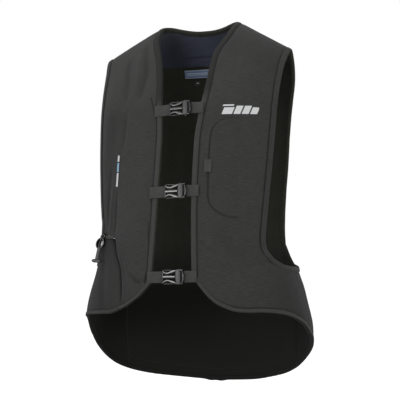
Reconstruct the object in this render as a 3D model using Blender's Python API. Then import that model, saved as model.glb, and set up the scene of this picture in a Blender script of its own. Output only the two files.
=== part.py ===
"""Airbag riding vest, kept in the form it has when worn, as separate named sub-parts."""
import math

import bmesh
import bpy
import numpy as np
from mathutils import Vector

# Frame: +Z up, the vest faces -Y, the wearer's left is +X, origin between the shoulders.
# All sizes in metres. Tables hold shares of the named sizes and angles in degrees.
DROP = 0.6575
HALF_WIDTH = 0.194
FRONT_DEPTH = 0.130
BACK_DEPTH = 0.106
SECTION_POWER = 2.3
SECTION_BLEND = 0.015

PANEL_THICK = 0.005
LINING_THICK = 0.0012
BAND_THICK = 0.0009
BAND_WIDTH = 0.010
BINDING_WIDTH = 0.009
GAP = 0.0003
INNER_GAP = 0.0021
BAND_GAP = 0.0006
SLIT_GAP = 0.0022

NECK_SHARE = 0.385
NECK_EASE = 0.15
TIP_SHARE = 0.950
NECK_HEIGHT = 0.031
TIP_HEIGHT = -0.033
SEAM_BACK = 0.020
NECK_DIP = 0.062
SEAM_GAP = 0.0006

# Section rows: height, half width, front depth and back depth.
SECTION_COLUMNS = ("height", "width", "front", "back")
SECTION_ROWS = (
    (-1.04, 1.093, 1.077, 1.113),
    (-0.875, 1.122, 1.054, 1.066),
    (-0.798, 1.124, 1.031, 1.019),
    (-0.738, 1.072, 1.023, 0.991),
    (-0.662, 0.985, 1.000, 0.962),
    (-0.586, 0.964, 0.977, 0.943),
    (-0.510, 0.969, 0.954, 0.943),
    (-0.433, 0.979, 0.915, 0.972),
    (-0.357, 0.990, 0.854, 1.000),
    (-0.221, 1.000, 0.738, 1.000),
    (-0.137, 0.990, 0.677, 1.000),
    (-0.046, 0.979, 0.631, 0.962),
    (0.076, 0.959, 0.615, 0.943),
)
SECTION = {name: [row[i] for row in SECTION_ROWS] for i, name in enumerate(SECTION_COLUMNS)}

# Front edge rows: height as a share of DROP, distance from the middle as a share of HALF_WIDTH.
LEFT_EDGE_ROWS = (
    (-0.682, 0.200), (-0.655, 0.190), (-0.624, 0.186), (-0.541, 0.177), (-0.421, 0.169),
    (-0.304, 0.169), (-0.252, 0.182), (-0.213, 0.208), (-0.175, 0.226), (-0.124, 0.233),
    (-0.085, 0.240), (-0.054, 0.252), (-0.015, 0.314), (0.047, 0.379),
)
RIGHT_EDGE_ROWS = (
    (-0.682, 0.200), (-0.655, 0.190), (-0.624, 0.186), (-0.541, 0.168), (-0.421, 0.152),
    (-0.304, 0.149), (-0.252, 0.156), (-0.213, 0.172), (-0.175, 0.185), (-0.124, 0.216),
    (-0.085, 0.249), (-0.054, 0.288), (-0.015, 0.348), (0.047, 0.379),
)
# Armhole rows: height as a share of DROP, share of the section's half width.
LEFT_ARM_FRONT_ROWS = (
    (-0.586, 0.824), (-0.560, 0.821), (-0.466, 0.836), (-0.399, 0.844), (-0.331, 0.851),
    (-0.285, 0.857), (-0.230, 0.862), (-0.189, 0.872), (-0.148, 0.886), (-0.098, 0.908),
    (-0.050, 0.950),
)
RIGHT_ARM_FRONT_ROWS = (
    (-0.586, 0.824), (-0.529, 0.850), (-0.466, 0.874), (-0.365, 0.892), (-0.316, 0.898),
    (-0.259, 0.900), (-0.195, 0.896), (-0.130, 0.905), (-0.098, 0.912), (-0.050, 0.950),
)
ARM_BACK_ROWS = (
    (-0.585, 0.818), (-0.550, 0.807), (-0.491, 0.806), (-0.418, 0.811), (-0.374, 0.820),
    (-0.281, 0.831), (-0.222, 0.847), (-0.172, 0.877), (-0.123, 0.917), (-0.100, 0.930),
    (-0.050, 0.950),
)
# Armhole floor rows: angle round the body, height as a share of DROP.
ARM_FLOOR_ROWS = (
    (53.2, -0.586), (56.4, -0.605), (61.5, -0.621), (69.6, -0.634), (82.0, -0.641),
    (98.0, -0.645), (115.6, -0.640), (124.5, -0.608), (127.5, -0.585),
)
# Hem rows: angle round the body, height as a share of DROP.
LEFT_HEM_ROWS = (
    (9.9, -0.661), (13.7, -0.700), (17.0, -0.720), (20.0, -0.733), (23.0, -0.742),
    (29.0, -0.751), (35.0, -0.753), (47.0, -0.753), (56.0, -0.758), (62.0, -0.763),
    (68.0, -0.772), (74.0, -0.780), (80.0, -0.796), (86.0, -0.814), (90.0, -0.830),
    (104.0, -0.868), (116.8, -0.900), (126.3, -0.931), (139.0, -0.960), (159.9, -0.989),
    (180.0, -1.000),
)
RIGHT_HEM_ROWS = (
    (8.7, -0.680), (11.5, -0.700), (14.9, -0.720), (21.3, -0.745), (30.1, -0.768),
    (53.0, -0.779), (61.6, -0.783), (80.5, -0.801), (86.0, -0.826), (90.0, -0.861),
    (104.0, -0.919), (116.5, -0.953), (129.8, -0.975), (144.5, -0.989), (159.5, -0.995),
    (180.0, -1.000),
)
# Slit rows on the wearer's right: height as a share of DROP, angle round the body.
SLIT_ROWS = (
    (-0.800, 25.0), (-0.713, 26.3), (-0.646, 30.2), (-0.634, 31.5), (-0.611, 34.7),
    (-0.580, 36.5), (-0.566, 38.5), (-0.552, 51.0), (-0.540, 55.0),
)
SLIT_TURN = 6
SIDE_SEAM_ANGLE = 88.0
BACK_SEAM_ANGLE = 127.5

# Heights of the grid rows at the outer edge, as shares of DROP.
LEFT_LEVELS = (
    -0.050, -0.054, -0.070, -0.098, -0.134, -0.175, -0.220, -0.268, -0.316, -0.366,
    -0.416, -0.466, -0.516, -0.560, -0.590, -0.609, -0.624, -0.635, -0.6405, -0.645,
    -0.680, -0.725, -0.775, -0.822,
)
RIGHT_LEVELS = (
    -0.050, -0.054, -0.070, -0.098, -0.134, -0.175, -0.220, -0.268, -0.316, -0.366,
    -0.416, -0.462, -0.500, -0.528, -0.541, -0.552, -0.566, -0.580, -0.600, -0.622,
    -0.640, -0.662, -0.695, -0.730, -0.756,
)

# Heights of the grid rows at the outer edge and at the front edge, as shares of DROP.
LEFT_INNER_ROWS = (
    (-0.822, -0.661), (-0.645, -0.646), (-0.590, -0.602), (-0.500, -0.512), (-0.300, -0.270),
    (-0.050, 0.047),
)
RIGHT_INNER_ROWS = (
    (-0.756, -0.680), (-0.640, -0.640), (-0.566, -0.572), (-0.540, -0.545), (-0.500, -0.505),
    (-0.300, -0.270), (-0.050, 0.047),
)
LEFT_CORNER = -0.4344
RIGHT_CORNER = -0.4484

# Columns of the right side panel along its top edge, in degrees.
RIGHT_SIDE_COLUMNS = (
    40.5, 45.0, 50.5, 54.6, 56.6, 61.5, 69.6, 79.0, 88.0, 97.0, 106.0, 115.6, 122.0, 127.15,
)
LEFT_SIDE_COLUMNS = (88.4, 93.0, 98.0, 104.0, 110.0, 115.6, 120.0, 124.5, 127.15)
SIDE_ROWS = 10

# Heights of the back's grid rows as shares of the way down to the hem, and where linings start.
BACK_LEVELS = (
    0.0, 0.004, 0.015, 0.035, 0.060, 0.085, 0.115, 0.1475, 0.150, 0.18, 0.23, 0.29, 0.36, 0.43,
    0.50, 0.55, 0.59, 0.63, 0.67, 0.71, 0.76, 0.81, 0.87, 0.93, 0.97, 1.0,
)
BACK_COLUMNS = 18
LINING_ROW = 8
NECK_COLUMN = 2

# Flap outline rows: height, inner edge and outer edge, all from the flap's own sizes.
FLAP_TOP = -0.164
FLAP_HEIGHT = 0.170
FLAP_INNER = 0.062
FLAP_WIDTH = 0.062
FLAP_ROWS = (
    (0.00, 0.36, 1.00), (0.05, 0.17, 1.00), (0.11, 0.05, 1.00), (0.20, 0.01, 1.00),
    (0.35, 0.00, 1.00), (0.50, 0.00, 1.00), (0.65, 0.01, 1.00), (0.78, 0.02, 1.00),
    (0.86, 0.06, 1.00), (0.92, 0.20, 0.98), (0.97, 0.42, 0.96), (1.00, 0.62, 0.92),
)

FLAP_THICK = 0.0016
TAB_LENGTH = 0.0125
TAB_HEIGHT = 0.0215
TAB_TOP = -0.2360
WEB_WIDTH = 0.0200
WEB_THICK = 0.0015

LABEL_X = -0.0325
LABEL_TOP = -0.0400
LABEL_WIDTH = 0.055
LABEL_HEIGHT = 0.0160
SIZE_X = -0.0330
SIZE_TOP = -0.0618
SIZE_WIDTH = 0.012
SIZE_HEIGHT = 0.010
SIZE_GAP = 0.0020

# Closure rows: name, height at the buckle, rise over the strap's length.
CLOSURES = (("top", -0.1436, 0.0047), ("middle", -0.2890, 0.0039), ("bottom", -0.4363, 0.0040))
STRAP_REACH = 0.0915
BUCKLE_START = -0.0135
BUCKLE_LENGTH = 0.0425
BUCKLE_WIDTH = 0.0255
BUCKLE_THICK = 0.0082
BUCKLE_LIFT = 0.0064
MALE_THICK = 0.0044
FEMALE_LENGTH = 0.0232
SLOT_LENGTH = 0.0050
SLOT_EASE = 0.0006
BAR_WIDTH = 0.0037
FEMALE_BAR = 0.0036
CAVITY_HEIGHT = 0.0052
CAVITY_WIDTH = 0.0205
CAVITY_LENGTH = 0.0115
WINDOW_START = 0.0017
WINDOW_LENGTH = 0.0090
WINDOW_DEPTH = 0.0055
WINDOW_HEIGHT = 0.0046
RELIEF_LENGTH = 0.0084
RELIEF_DEPTH = 0.0029
BUCKLE_ROUND = 0.0016
CUT_REACH = 0.020
SEAT_GAP = 0.0006
# Male half rows: distance along as a share of BUCKLE_LENGTH, height as a share of half its width.
MALE_ROWS = (
    (-0.005, 0.882), (0.019, 0.961), (0.231, 0.984), (0.287, 0.922), (0.353, 0.812),
    (0.555, 0.749), (0.616, 0.906), (0.696, 0.671), (0.706, 0.561), (0.494, 0.545),
    (0.353, 0.592), (0.325, 0.514), (0.325, 0.157), (0.659, 0.125), (0.678, 0.063),
)
# Webbing rows: distance along as a share of BUCKLE_LENGTH, depth as a share of BUCKLE_THICK.
RIGHT_WEB_ROWS = ((-0.141, 0.415), (0.108, 0.415), (0.151, 0.171), (0.160, -0.146))
LEFT_WEB_ROWS = ((0.852, -0.195), (0.861, 0.073), (0.904, 0.317), (0.953, 0.317), (1.000, 0.366))
# Places along BUCKLE_LENGTH where the webbing lies on the edge bands.
RIGHT_SEATS = (-0.729, -0.553, -0.376)
LEFT_SEATS = (1.059, 1.235, 1.412)

# Fitting rows: shares of FITTING_LENGTH, of half FITTING_WIDTH and of half FITTING_DEPTH.
FITTING_ROWS = (
    (0.000, 0.283, 0.393), (0.015, 0.435, 0.607), (0.085, 0.457, 0.643), (0.109, 0.370, 0.536),
    (0.151, 0.630, 0.750), (0.217, 0.891, 0.929), (0.311, 1.000, 1.000), (0.406, 0.913, 0.946),
    (0.491, 0.674, 0.821), (0.557, 0.467, 0.714), (0.679, 0.435, 0.679), (0.811, 0.467, 0.714),
    (0.858, 0.652, 0.929), (0.906, 0.739, 1.036), (0.962, 0.717, 1.000), (1.000, 0.543, 0.786),
)
FITTING_LENGTH = 0.0530
FITTING_WIDTH = 0.0184
FITTING_DEPTH = 0.0112
FITTING_SIDES = 14
FITTING_TOP = (-0.1480, -0.3655)
FITTING_FOOT = (-0.1520, -0.4185)
FITTING_TOP_LIFT = 0.0058
FITTING_FOOT_LIFT = 0.0140
CORD_START = (-0.1230, -0.3745)
CORD_END = (-0.1478, -0.3672)
CORD_WIDTH = 0.0054
CORD_THICK = 0.0012

# Plain marks: left edge, top, width and height on the chest; top, foot and width at the side.
MARK_THICK = 0.0004
CHEST_X = 0.080
CHEST_TOP = -0.1405
CHEST_WIDTH = 0.059
CHEST_HEIGHT = 0.0155
STRIP_TOP = (-0.1190, -0.2228)
STRIP_FOOT = (-0.1210, -0.2795)
STRIP_WIDTH = 0.0065
LABEL_THICK = 0.0006

# Ends of the armhole bindings: heights on the front and back edges, angles on the floor.
ARM_BAND_TOP = -0.0370
ARM_BAND_LOW = -0.3800
SLIT_BAND_LOW = -0.3620
ARM_BACK_TOP = -0.0470
ARM_BACK_LOW = -0.3820
FLOOR_BAND_START = 54.0
FLOOR_BAND_END = 124.0
SLIT_BAND_START = 55.0
TAIL_BAND_START = 129.5
FINE_STEP = 0.0110
BAND_STEP = 0.0145
HEM_STEP = 0.0170


def table(rows, value, key=0, column=1):
    """Straight-line value of a table column at a value of its key column."""
    ordered = sorted(rows, key=lambda row: row[key])
    return float(np.interp(value, [r[key] for r in ordered], [r[column] for r in ordered]))


def section(name, z):
    """Section size at a height, eased over a few steps so that no row leaves a kink."""
    keys = np.array(SECTION["height"]) * DROP
    steps = np.array((-2.0, -1.0, 0.0, 1.0, 2.0)) * SECTION_BLEND
    weights = np.array((0.15, 0.2, 0.3, 0.2, 0.15))
    return float(np.dot(np.interp(z + steps, keys, SECTION[name]), weights))


def share_of(angle):
    """Share of the half width at an angle round the body."""
    return abs(math.sin(math.radians(abs(angle)))) ** (2 / SECTION_POWER)


def angle_of(share, back=False):
    """Angle round the body at a share of the half width."""
    angle = math.degrees(math.asin(min(1.0, share) ** (SECTION_POWER / 2)))
    return 180.0 - angle if back else angle


def shoulder_step(share):
    """How far a share lies from the neck point, 0, to the shoulder tip, 1."""
    step = (share - NECK_SHARE) / (TIP_SHARE - NECK_SHARE)
    if step > NECK_EASE:
        return step
    return max(0.0, step + NECK_EASE) ** 2 / (4 * NECK_EASE)


def top_height(share):
    """Height of the shoulder line at a share."""
    return NECK_HEIGHT + (TIP_HEIGHT - NECK_HEIGHT) * shoulder_step(share)


def roll_of(share, back):
    """Height and power of the roll over the shoulder."""
    step = min(1.0, shoulder_step(share))
    if back:
        return 0.125 - 0.045 * min(1.0, share / 0.6), 2.0 - 0.2 * step
    return 0.175 - 0.065 * step, 1.45 + 0.35 * step


def depth_to_q(depth, share, back):
    """Surface distance below the shoulder line for a straight depth below it."""
    height, power = roll_of(share, back)
    if depth >= height:
        return height * power + depth - height
    return height * power * (max(depth, 0.0) / height) ** (1 / power)


def surface(angle, q):
    """Point of the vest's outer surface at an angle and a distance below the shoulder line."""
    angle = math.remainder(angle, 360.0)
    side = 1.0 if angle >= 0 else -1.0
    turn = math.radians(abs(angle))
    back = abs(angle) > 90.0
    share = share_of(angle)
    reach = abs(math.cos(turn)) ** (2 / SECTION_POWER)
    height, power = roll_of(share, back)
    w = min(1.0, max(q, 0.0) / (height * power))
    depth = height * w ** power + max(0.0, q - height * power)
    roll = max(0.0, 1 - (1 - w ** power) ** power) ** (1 / power)
    z = top_height(share) - depth
    seam = SEAM_BACK * (1 - shoulder_step(share)) if share < TIP_SHARE else 0.0
    split = SEAM_GAP * max(0.0, 1 - depth / 0.012) * reach
    if back:
        full = BACK_DEPTH * section("back", z)
        y = seam + (full - seam) * reach * roll + split
    else:
        full = FRONT_DEPTH * section("front", z)
        y = seam - (full + seam) * reach * roll - split
    return Vector((side * HALF_WIDTH * section("width", z) * share, y, z))


def spot(angle, z):
    """Surface coordinates of the place at an angle and a height."""
    share = share_of(angle)
    return angle, depth_to_q(top_height(share) - z, share, abs(angle) > 90.0)


def slopes(angle, q):
    """Change of the surface point per degree and per metre of q."""
    da = 0.2
    dq = 0.0008
    low = max(0.0, q - dq)
    along = (surface(angle + da, q) - surface(angle - da, q)) / (2 * da)
    down = (surface(angle, q + dq) - surface(angle, low)) / (q + dq - low)
    return along, down


def normal(angle, q):
    """Outward direction of the surface, upright on the shoulder line."""
    along, down = slopes(angle, q)
    out = down.cross(along).normalized()
    centre = Vector((0.0, 0.0, -0.3))
    if out.dot(surface(angle, q) - centre) < 0:
        out.negate()
    ease = max(0.0, 1 - q / 0.02)
    return (out * (1 - ease) + Vector((0.0, 0.0, 1.0)) * ease).normalized()


def lifted(angle, q, lift):
    """Surface point moved along its outward direction."""
    return surface(angle, q) + normal(angle, q) * lift


def inset_spot(angle, q, direction, width):
    """Surface coordinates a short width away in a direction lying in the surface."""
    along, down = slopes(angle, q)
    grid = np.array([[along.dot(along), along.dot(down)], [along.dot(down), down.dot(down)]])
    aim = direction * width
    move = np.linalg.solve(grid, np.array([aim.dot(along), aim.dot(down)]))
    return angle + float(move[0]), max(0.0, q + float(move[1]))


def solid_from_rows(name, outer, inner, material):
    """Closed body between two grids of points of the same size."""
    rows = len(outer)
    cols = len(outer[0])
    points = [p for row in outer for p in row] + [p for row in inner for p in row]
    half = rows * cols
    faces = []
    for i in range(rows - 1):
        for j in range(cols - 1):
            a = i * cols + j
            for face in ((a, a + 1, a + cols + 1), (a, a + cols + 1, a + cols)):
                faces.append(face)
                faces.append(tuple(half + k for k in reversed(face)))
    rim = [j for j in range(cols)]
    rim += [i * cols + cols - 1 for i in range(1, rows)]
    rim += [(rows - 1) * cols + j for j in range(cols - 2, -1, -1)]
    rim += [i * cols for i in range(rows - 2, 0, -1)]
    for a, b in zip(rim, rim[1:] + rim[:1]):
        faces.append((b, a, half + a, half + b))
    return add_mesh(name, points, faces, material)


def add_mesh(name, points, faces, material):
    """New object from points and faces, with its faces turned outward."""
    mesh = bpy.data.meshes.new(name)
    mesh.from_pydata([tuple(p) for p in points], [], faces)
    work = bmesh.new()
    work.from_mesh(mesh)
    bmesh.ops.recalc_face_normals(work, faces=work.faces)
    work.to_mesh(mesh)
    work.free()
    mesh.shade_smooth()
    mesh.materials.append(material)
    part = bpy.data.objects.new(name, mesh)
    bpy.context.scene.collection.objects.link(part)
    return part


def new_material(name, colour, roughness, metallic=0.0):
    """Plain material of one colour."""
    material = bpy.data.materials.new(name)
    material.use_nodes = True
    shader = material.node_tree.nodes["Principled BSDF"]
    shader.inputs["Base Color"].default_value = (*colour, 1.0)
    shader.inputs["Roughness"].default_value = roughness
    shader.inputs["Metallic"].default_value = metallic
    return material


def shell(name, spots, top, bottom, material):
    """Cloth body over a grid of surface coordinates between two lifts."""
    outer = [[lifted(a, q, top) for a, q in row] for row in spots]
    inner = [[lifted(a, q, bottom) for a, q in row] for row in spots]
    return solid_from_rows(name, outer, inner, material)


def hem_height(angle):
    """Height of the hem at a signed angle."""
    rows = LEFT_HEM_ROWS if angle >= 0 else RIGHT_HEM_ROWS
    return DROP * table(rows, abs(angle))


def front_edge_angle(side, z):
    """Angle of the front edge at a height."""
    rows = LEFT_EDGE_ROWS if side > 0 else RIGHT_EDGE_ROWS
    reach = HALF_WIDTH * table(rows, z / DROP)
    return angle_of(reach / (HALF_WIDTH * section("width", z)))


def arm_front_angle(side, z):
    """Angle of the armhole's front edge at a height."""
    rows = LEFT_ARM_FRONT_ROWS if side > 0 else RIGHT_ARM_FRONT_ROWS
    return angle_of(table(rows, z / DROP))


def front_outer_angle(side, z):
    """Angle of the front panel's outer edge at a height."""
    share = z / DROP
    if side > 0 and share < -0.586:
        low = [(h, a) for a, h in ARM_FLOOR_ROWS if a < SIDE_SEAM_ANGLE]
        low.append((-0.6435, SIDE_SEAM_ANGLE))
        low.append((-1.0, SIDE_SEAM_ANGLE))
        return table(low, share)
    if side < 0 and share < -0.540:
        return table(SLIT_ROWS, share)
    return arm_front_angle(side, z)


def front_grid(side, columns):
    """Surface coordinates of a front panel, rows from the shoulder down to the hem."""
    levels = LEFT_LEVELS if side > 0 else RIGHT_LEVELS
    outer = [(front_outer_angle(side, h * DROP), h * DROP) for h in levels]
    outer = [(a, top_height(share_of(a)) - z) for a, z in outer]
    outer[0] = (outer[0][0], 0.0)
    low = front_edge_angle(side, LEFT_CORNER if side > 0 else RIGHT_CORNER)
    last = outer[-1][0]
    steps = [i / columns for i in range(columns + 1)]
    hem = [hem_depth(side, low + (last - low) * u) for u in steps]
    inner_rows = LEFT_INNER_ROWS if side > 0 else RIGHT_INNER_ROWS
    start = top_height(share_of(front_edge_angle(side, NECK_HEIGHT)))
    rows = []
    for (far, depth), level in zip(outer, levels):
        near_depth = max(0.0, start - DROP * table(inner_rows, level))
        if level == levels[-1]:
            near_depth = hem[0]
        near_share = (depth / outer[-1][1]) if depth else 0.0
        near = low
        for _ in range(12):
            edge = top_height(share_of(near)) - near_depth
            near = 0.5 * (near + front_edge_angle(side, edge))
        row = []
        for u, bottom in zip(steps, hem):
            straight = hem[0] + (hem[-1] - hem[0]) * u
            angle = near + (far - near) * u
            curve = max(0.0, (near_share - 0.72) / 0.28) ** 1.5
            down = near_depth + (depth - near_depth) * u + curve * (bottom - straight)
            down = max(0.0, down)
            share = share_of(angle)
            row.append((side * angle, depth_to_q(down, share, False)))
        rows.append(row)
    return rows


def hem_depth(side, angle):
    """Straight depth of the hem below the shoulder line."""
    return top_height(share_of(angle)) - hem_height(side * angle)


def edge_path(grid, column):
    """One side of a grid, from the shoulder down."""
    return [row[column] for row in grid]


def strip(name, path, width, toward, top, bottom, material, across=1):
    """Narrow band of cloth along a path of surface coordinates, lying in the surface."""
    outer = []
    inner = []
    for i, (angle, q) in enumerate(path):
        before = surface(*path[max(0, i - 1)])
        after = surface(*path[min(len(path) - 1, i + 1)])
        along = (after - before).normalized()
        out = normal(angle, q)
        side = out.cross(along).normalized() * toward
        spots = [inset_spot(angle, q, side, width * k / across) for k in range(across + 1)]
        outer.append([lifted(a, b, top) for a, b in spots])
        inner.append([lifted(a, b, bottom) for a, b in spots])
    return solid_from_rows(name, outer, inner, material)


def build_fronts(cloth, band):
    """Front panels with the facing that follows each front edge and hem."""
    for side, name in ((1, "left"), (-1, "right")):
        grid = front_grid(side, 9)
        shell(name + "_front_panel", grid, 0.0, -PANEL_THICK, cloth)
        path = edge_path(grid, 0) + grid[-1][1:]
        path = spaced(path, BAND_STEP)[1:-1]
        strip(name + "_front_facing", path, BAND_WIDTH, side,
              BAND_GAP + BAND_THICK, BAND_GAP, band)


def spaced(path, step):
    """Surface path sampled again at even steps."""
    points = [surface(*p) for p in path]
    length = [0.0]
    for a, b in zip(points, points[1:]):
        length.append(length[-1] + (b - a).length)
    count = max(2, int(round(length[-1] / step)))
    marks = [length[-1] * i / count for i in range(count + 1)]
    angles = np.interp(marks, length, [p[0] for p in path])
    downs = np.interp(marks, length, [p[1] for p in path])
    return [(float(a), float(q)) for a, q in zip(angles, downs)]


def build_back(cloth, lining, navy):
    """Back panel with its dropped tail, and the linings inside it."""
    grid = back_grid(BACK_LEVELS, BACK_COLUMNS)
    shell("back_panel", grid, 0.0, -PANEL_THICK, cloth)
    low = -PANEL_THICK - GAP
    shell("back_lining", grid[LINING_ROW:-1], low, low - LINING_THICK, lining)
    middle = [row[NECK_COLUMN:-NECK_COLUMN] for row in grid[1:LINING_ROW]]
    shell("neck_lining", middle, low, low - LINING_THICK, navy)


def back_top(share):
    """Surface distance where the back panel starts, lower behind the neck."""
    dip = max(0.0, 1 - share / NECK_SHARE)
    return NECK_DIP * (1 - (1 - dip) ** 2)


def back_edge_angle(z):
    """Angle of the back panel's side edge at a height."""
    share = z / DROP
    if share < -0.585:
        return BACK_SEAM_ANGLE
    return angle_of(table(ARM_BACK_ROWS, share), back=True)


def back_grid(levels, columns):
    """Surface coordinates of the back from the neck line down to the tail's hem."""
    rows = []
    for level in levels:
        row = []
        for j in range(columns + 1):
            lateral = 2.0 * j / columns - 1.0
            edge = BACK_SEAM_ANGLE
            for _ in range(10):
                angle = 180.0 - (180.0 - edge) * abs(lateral)
                share = share_of(angle)
                low = hem_height(math.copysign(angle, lateral))
                hem = depth_to_q(top_height(share) - low, share, True)
                start = back_top(share)
                q = start + (hem - start) * level
                low = hem_height(math.copysign(edge, lateral))
                tip = depth_to_q(top_height(share_of(edge)) - low, share_of(edge), True)
                edge = 0.5 * (edge + back_edge_angle(surface(edge, tip * level).z))
            row.append((math.copysign(angle, lateral) if lateral else 180.0, q))
        rows.append(row)
    return rows


def floor_height(angle):
    """Height of the armhole's floor at an angle."""
    return DROP * table(ARM_FLOOR_ROWS, angle)


def side_top(side, angle):
    """Height of a side panel's top edge at an angle."""
    if side < 0 and angle < 55.5:
        rows = [(a, h) for h, a in SLIT_ROWS[SLIT_TURN:]]
        return DROP * table(rows, angle) - SLIT_GAP
    return floor_height(angle)


def side_start(side, down):
    """Angle of a side panel's front edge at a share of its height."""
    if side > 0:
        return LEFT_SIDE_COLUMNS[0]
    top_z = side_top(side, RIGHT_SIDE_COLUMNS[0])
    z = top_z + (hem_height(-28.0) - top_z) * down
    return table(SLIT_ROWS, z / DROP) + slit_step(z)


def side_grid(side):
    """Surface coordinates of a side panel, rows from the armhole down to the hem."""
    columns = LEFT_SIDE_COLUMNS if side > 0 else RIGHT_SIDE_COLUMNS
    first = side_start(side, 0.0)
    last = columns[-1]
    shares = [max(0.0, a - first) / (last - first) for a in (first,) + columns[1:]]
    rows = []
    for i in range(SIDE_ROWS + 1):
        down = i / SIDE_ROWS
        start = side_start(side, down)
        end = side_start(side, 1.0)
        row = []
        for top_angle, share in zip((first,) + columns[1:], shares):
            angle = start + (last - start) * share
            top = side_top(side, top_angle)
            low = hem_height(side * (end + (last - end) * share))
            row.append(spot(side * angle, top + (low - top) * down))
        rows.append(row)
    return rows


def build_sides(cloth, band):
    """Side panels under the armholes with hem bands, the right one starting behind the slit."""
    for side, name in ((1, "left"), (-1, "right")):
        grid = side_grid(side)
        shell(name + "_side_panel", grid, 0.0, -PANEL_THICK, cloth)
        hem = spaced(grid[-1], HEM_STEP)
        hem = hem[1:] if side < 0 else hem[2:]
        strip(name + "_side_hem_binding", hem, BINDING_WIDTH, side,
              BAND_GAP + BAND_THICK, BAND_GAP, band)


def slit_step(z):
    """Width of the slit in degrees at a height."""
    return math.degrees(SLIT_GAP / (HALF_WIDTH * section("width", z))) * 1.15


def build_bindings(band):
    """Bindings of the armholes, the tail and the collar."""
    lift = BAND_GAP + BAND_THICK
    for side, name in ((1, "left"), (-1, "right")):
        heights = np.linspace(ARM_BAND_TOP, ARM_BAND_LOW, 34)
        front = [spot(side * arm_front_angle(side, z), z) for z in heights]
        turns = np.linspace(FLOOR_BAND_START, FLOOR_BAND_END, 16)
        floor = [spot(side * a, floor_height(a) - GAP) for a in turns]
        if side < 0:
            front = [p for p in front if surface(*p).z > SLIT_BAND_LOW]
            floor = [p for p in floor if abs(p[0]) > SLIT_BAND_START]
        back = [spot(side * angle_of(table(ARM_BACK_ROWS, z / DROP), True), z)
                for z in np.linspace(ARM_BACK_LOW, ARM_BACK_TOP, 32)]
        path = spaced(front + floor, FINE_STEP)
        strip(name + "_armhole_front_binding", path, BINDING_WIDTH, -side, lift, BAND_GAP, band)
        path = spaced(back, BAND_STEP)
        strip(name + "_armhole_back_binding", path, BINDING_WIDTH, -side, lift, BAND_GAP, band)
    tail = [spot(a, hem_height(a)) for a in np.linspace(TAIL_BAND_START, 179.5, 18)]
    tail += [spot(-a, hem_height(-a)) for a in np.linspace(179.5, TAIL_BAND_START, 18)]
    unwrapped = [(a if a >= 0 else 360.0 + a, q) for a, q in tail]
    strip("tail_binding", spaced(unwrapped, BAND_STEP), BINDING_WIDTH, 1, lift, BAND_GAP, band)
    collar = []
    for a in np.linspace(angle_of(NECK_SHARE, True), 360.0 - angle_of(NECK_SHARE, True), 25):
        collar.append((float(a), back_top(share_of(a))))
    strip("collar_binding", collar, BINDING_WIDTH, -1, lift, BAND_GAP, band)


def flat_grid(corners, columns, rows):
    """Surface coordinates over a patch given by four corners, each an x and a height."""
    top_left, top_right, low_right, low_left = corners
    grid = []
    for i in range(rows + 1):
        v = i / rows
        row = []
        for j in range(columns + 1):
            u = j / columns
            x = (top_left[0] * (1 - u) + top_right[0] * u) * (1 - v)
            x += (low_left[0] * (1 - u) + low_right[0] * u) * v
            z = (top_left[1] * (1 - u) + top_right[1] * u) * (1 - v)
            z += (low_left[1] * (1 - u) + low_right[1] * u) * v
            row.append(place(x, z))
        grid.append(row)
    return grid


def place(x, z):
    """Surface coordinates on the front at a sideways place and a height."""
    angle = angle_of(abs(x) / (HALF_WIDTH * section("width", z)))
    return spot(math.copysign(angle, x), z)


def build_flap(cloth, webbing):
    """Access flap on the wearer's left front, with the tab that pulls it open."""
    grid = []
    for down, start, end in FLAP_ROWS:
        z = FLAP_TOP - FLAP_HEIGHT * down
        row = []
        for j in range(7):
            across = start + (end - start) * j / 6
            row.append(place(FLAP_INNER + FLAP_WIDTH * across, z))
        grid.append(row)
    shell("access_flap", grid, GAP + FLAP_THICK, GAP, cloth)
    x0 = FLAP_INNER - TAB_LENGTH * 0.62
    corners = ((x0, TAB_TOP), (x0 + TAB_LENGTH, TAB_TOP),
               (x0 + TAB_LENGTH, TAB_TOP - TAB_HEIGHT), (x0, TAB_TOP - TAB_HEIGHT))
    low = 2 * GAP + FLAP_THICK
    shell("flap_pull_tab", flat_grid(corners, 3, 3), low + WEB_THICK, low, webbing)


def build_marks(reflective, strip_cloth, label, dark):
    """Plain patches where the photographed vest has printed or woven marks."""
    right = CHEST_X + CHEST_WIDTH
    low = CHEST_TOP - CHEST_HEIGHT
    corners = ((CHEST_X, CHEST_TOP), (right, CHEST_TOP), (right, low), (CHEST_X, low))
    grid = flat_grid(corners, 8, 2)
    shell("chest_reflective_patch", grid, GAP + MARK_THICK, GAP, reflective)
    corners = (STRIP_TOP, (STRIP_TOP[0] + STRIP_WIDTH, STRIP_TOP[1]),
               (STRIP_FOOT[0] + STRIP_WIDTH, STRIP_FOOT[1]), STRIP_FOOT)
    shell("side_strip", flat_grid(corners, 2, 6), GAP + MARK_THICK, GAP, strip_cloth)
    low = -PANEL_THICK - GAP - LINING_THICK - INNER_GAP
    grid = inner_patch(LABEL_X, LABEL_TOP, LABEL_WIDTH, LABEL_HEIGHT, 4, 2)
    shell("neck_label", grid, low, low - LABEL_THICK, label)
    low += INNER_GAP - SIZE_GAP
    grid = inner_patch(SIZE_X, SIZE_TOP, SIZE_WIDTH, SIZE_HEIGHT, 2, 2)
    shell("size_tab", grid, low, low - LABEL_THICK, dark)


def inner_patch(middle, top, width, height, columns, rows):
    """Surface coordinates of a small patch on the inside of the back."""
    grid = []
    for i in range(rows + 1):
        row = []
        for j in range(columns + 1):
            x = middle + width * (j / columns - 0.5)
            z = top - height * i / rows
            angle = angle_of(abs(x) / (HALF_WIDTH * section("width", z)), back=True)
            angle, q = spot(angle, z)
            row.append((angle if x >= 0 else 360.0 - angle, q))
        grid.append(row)
    return grid


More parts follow.
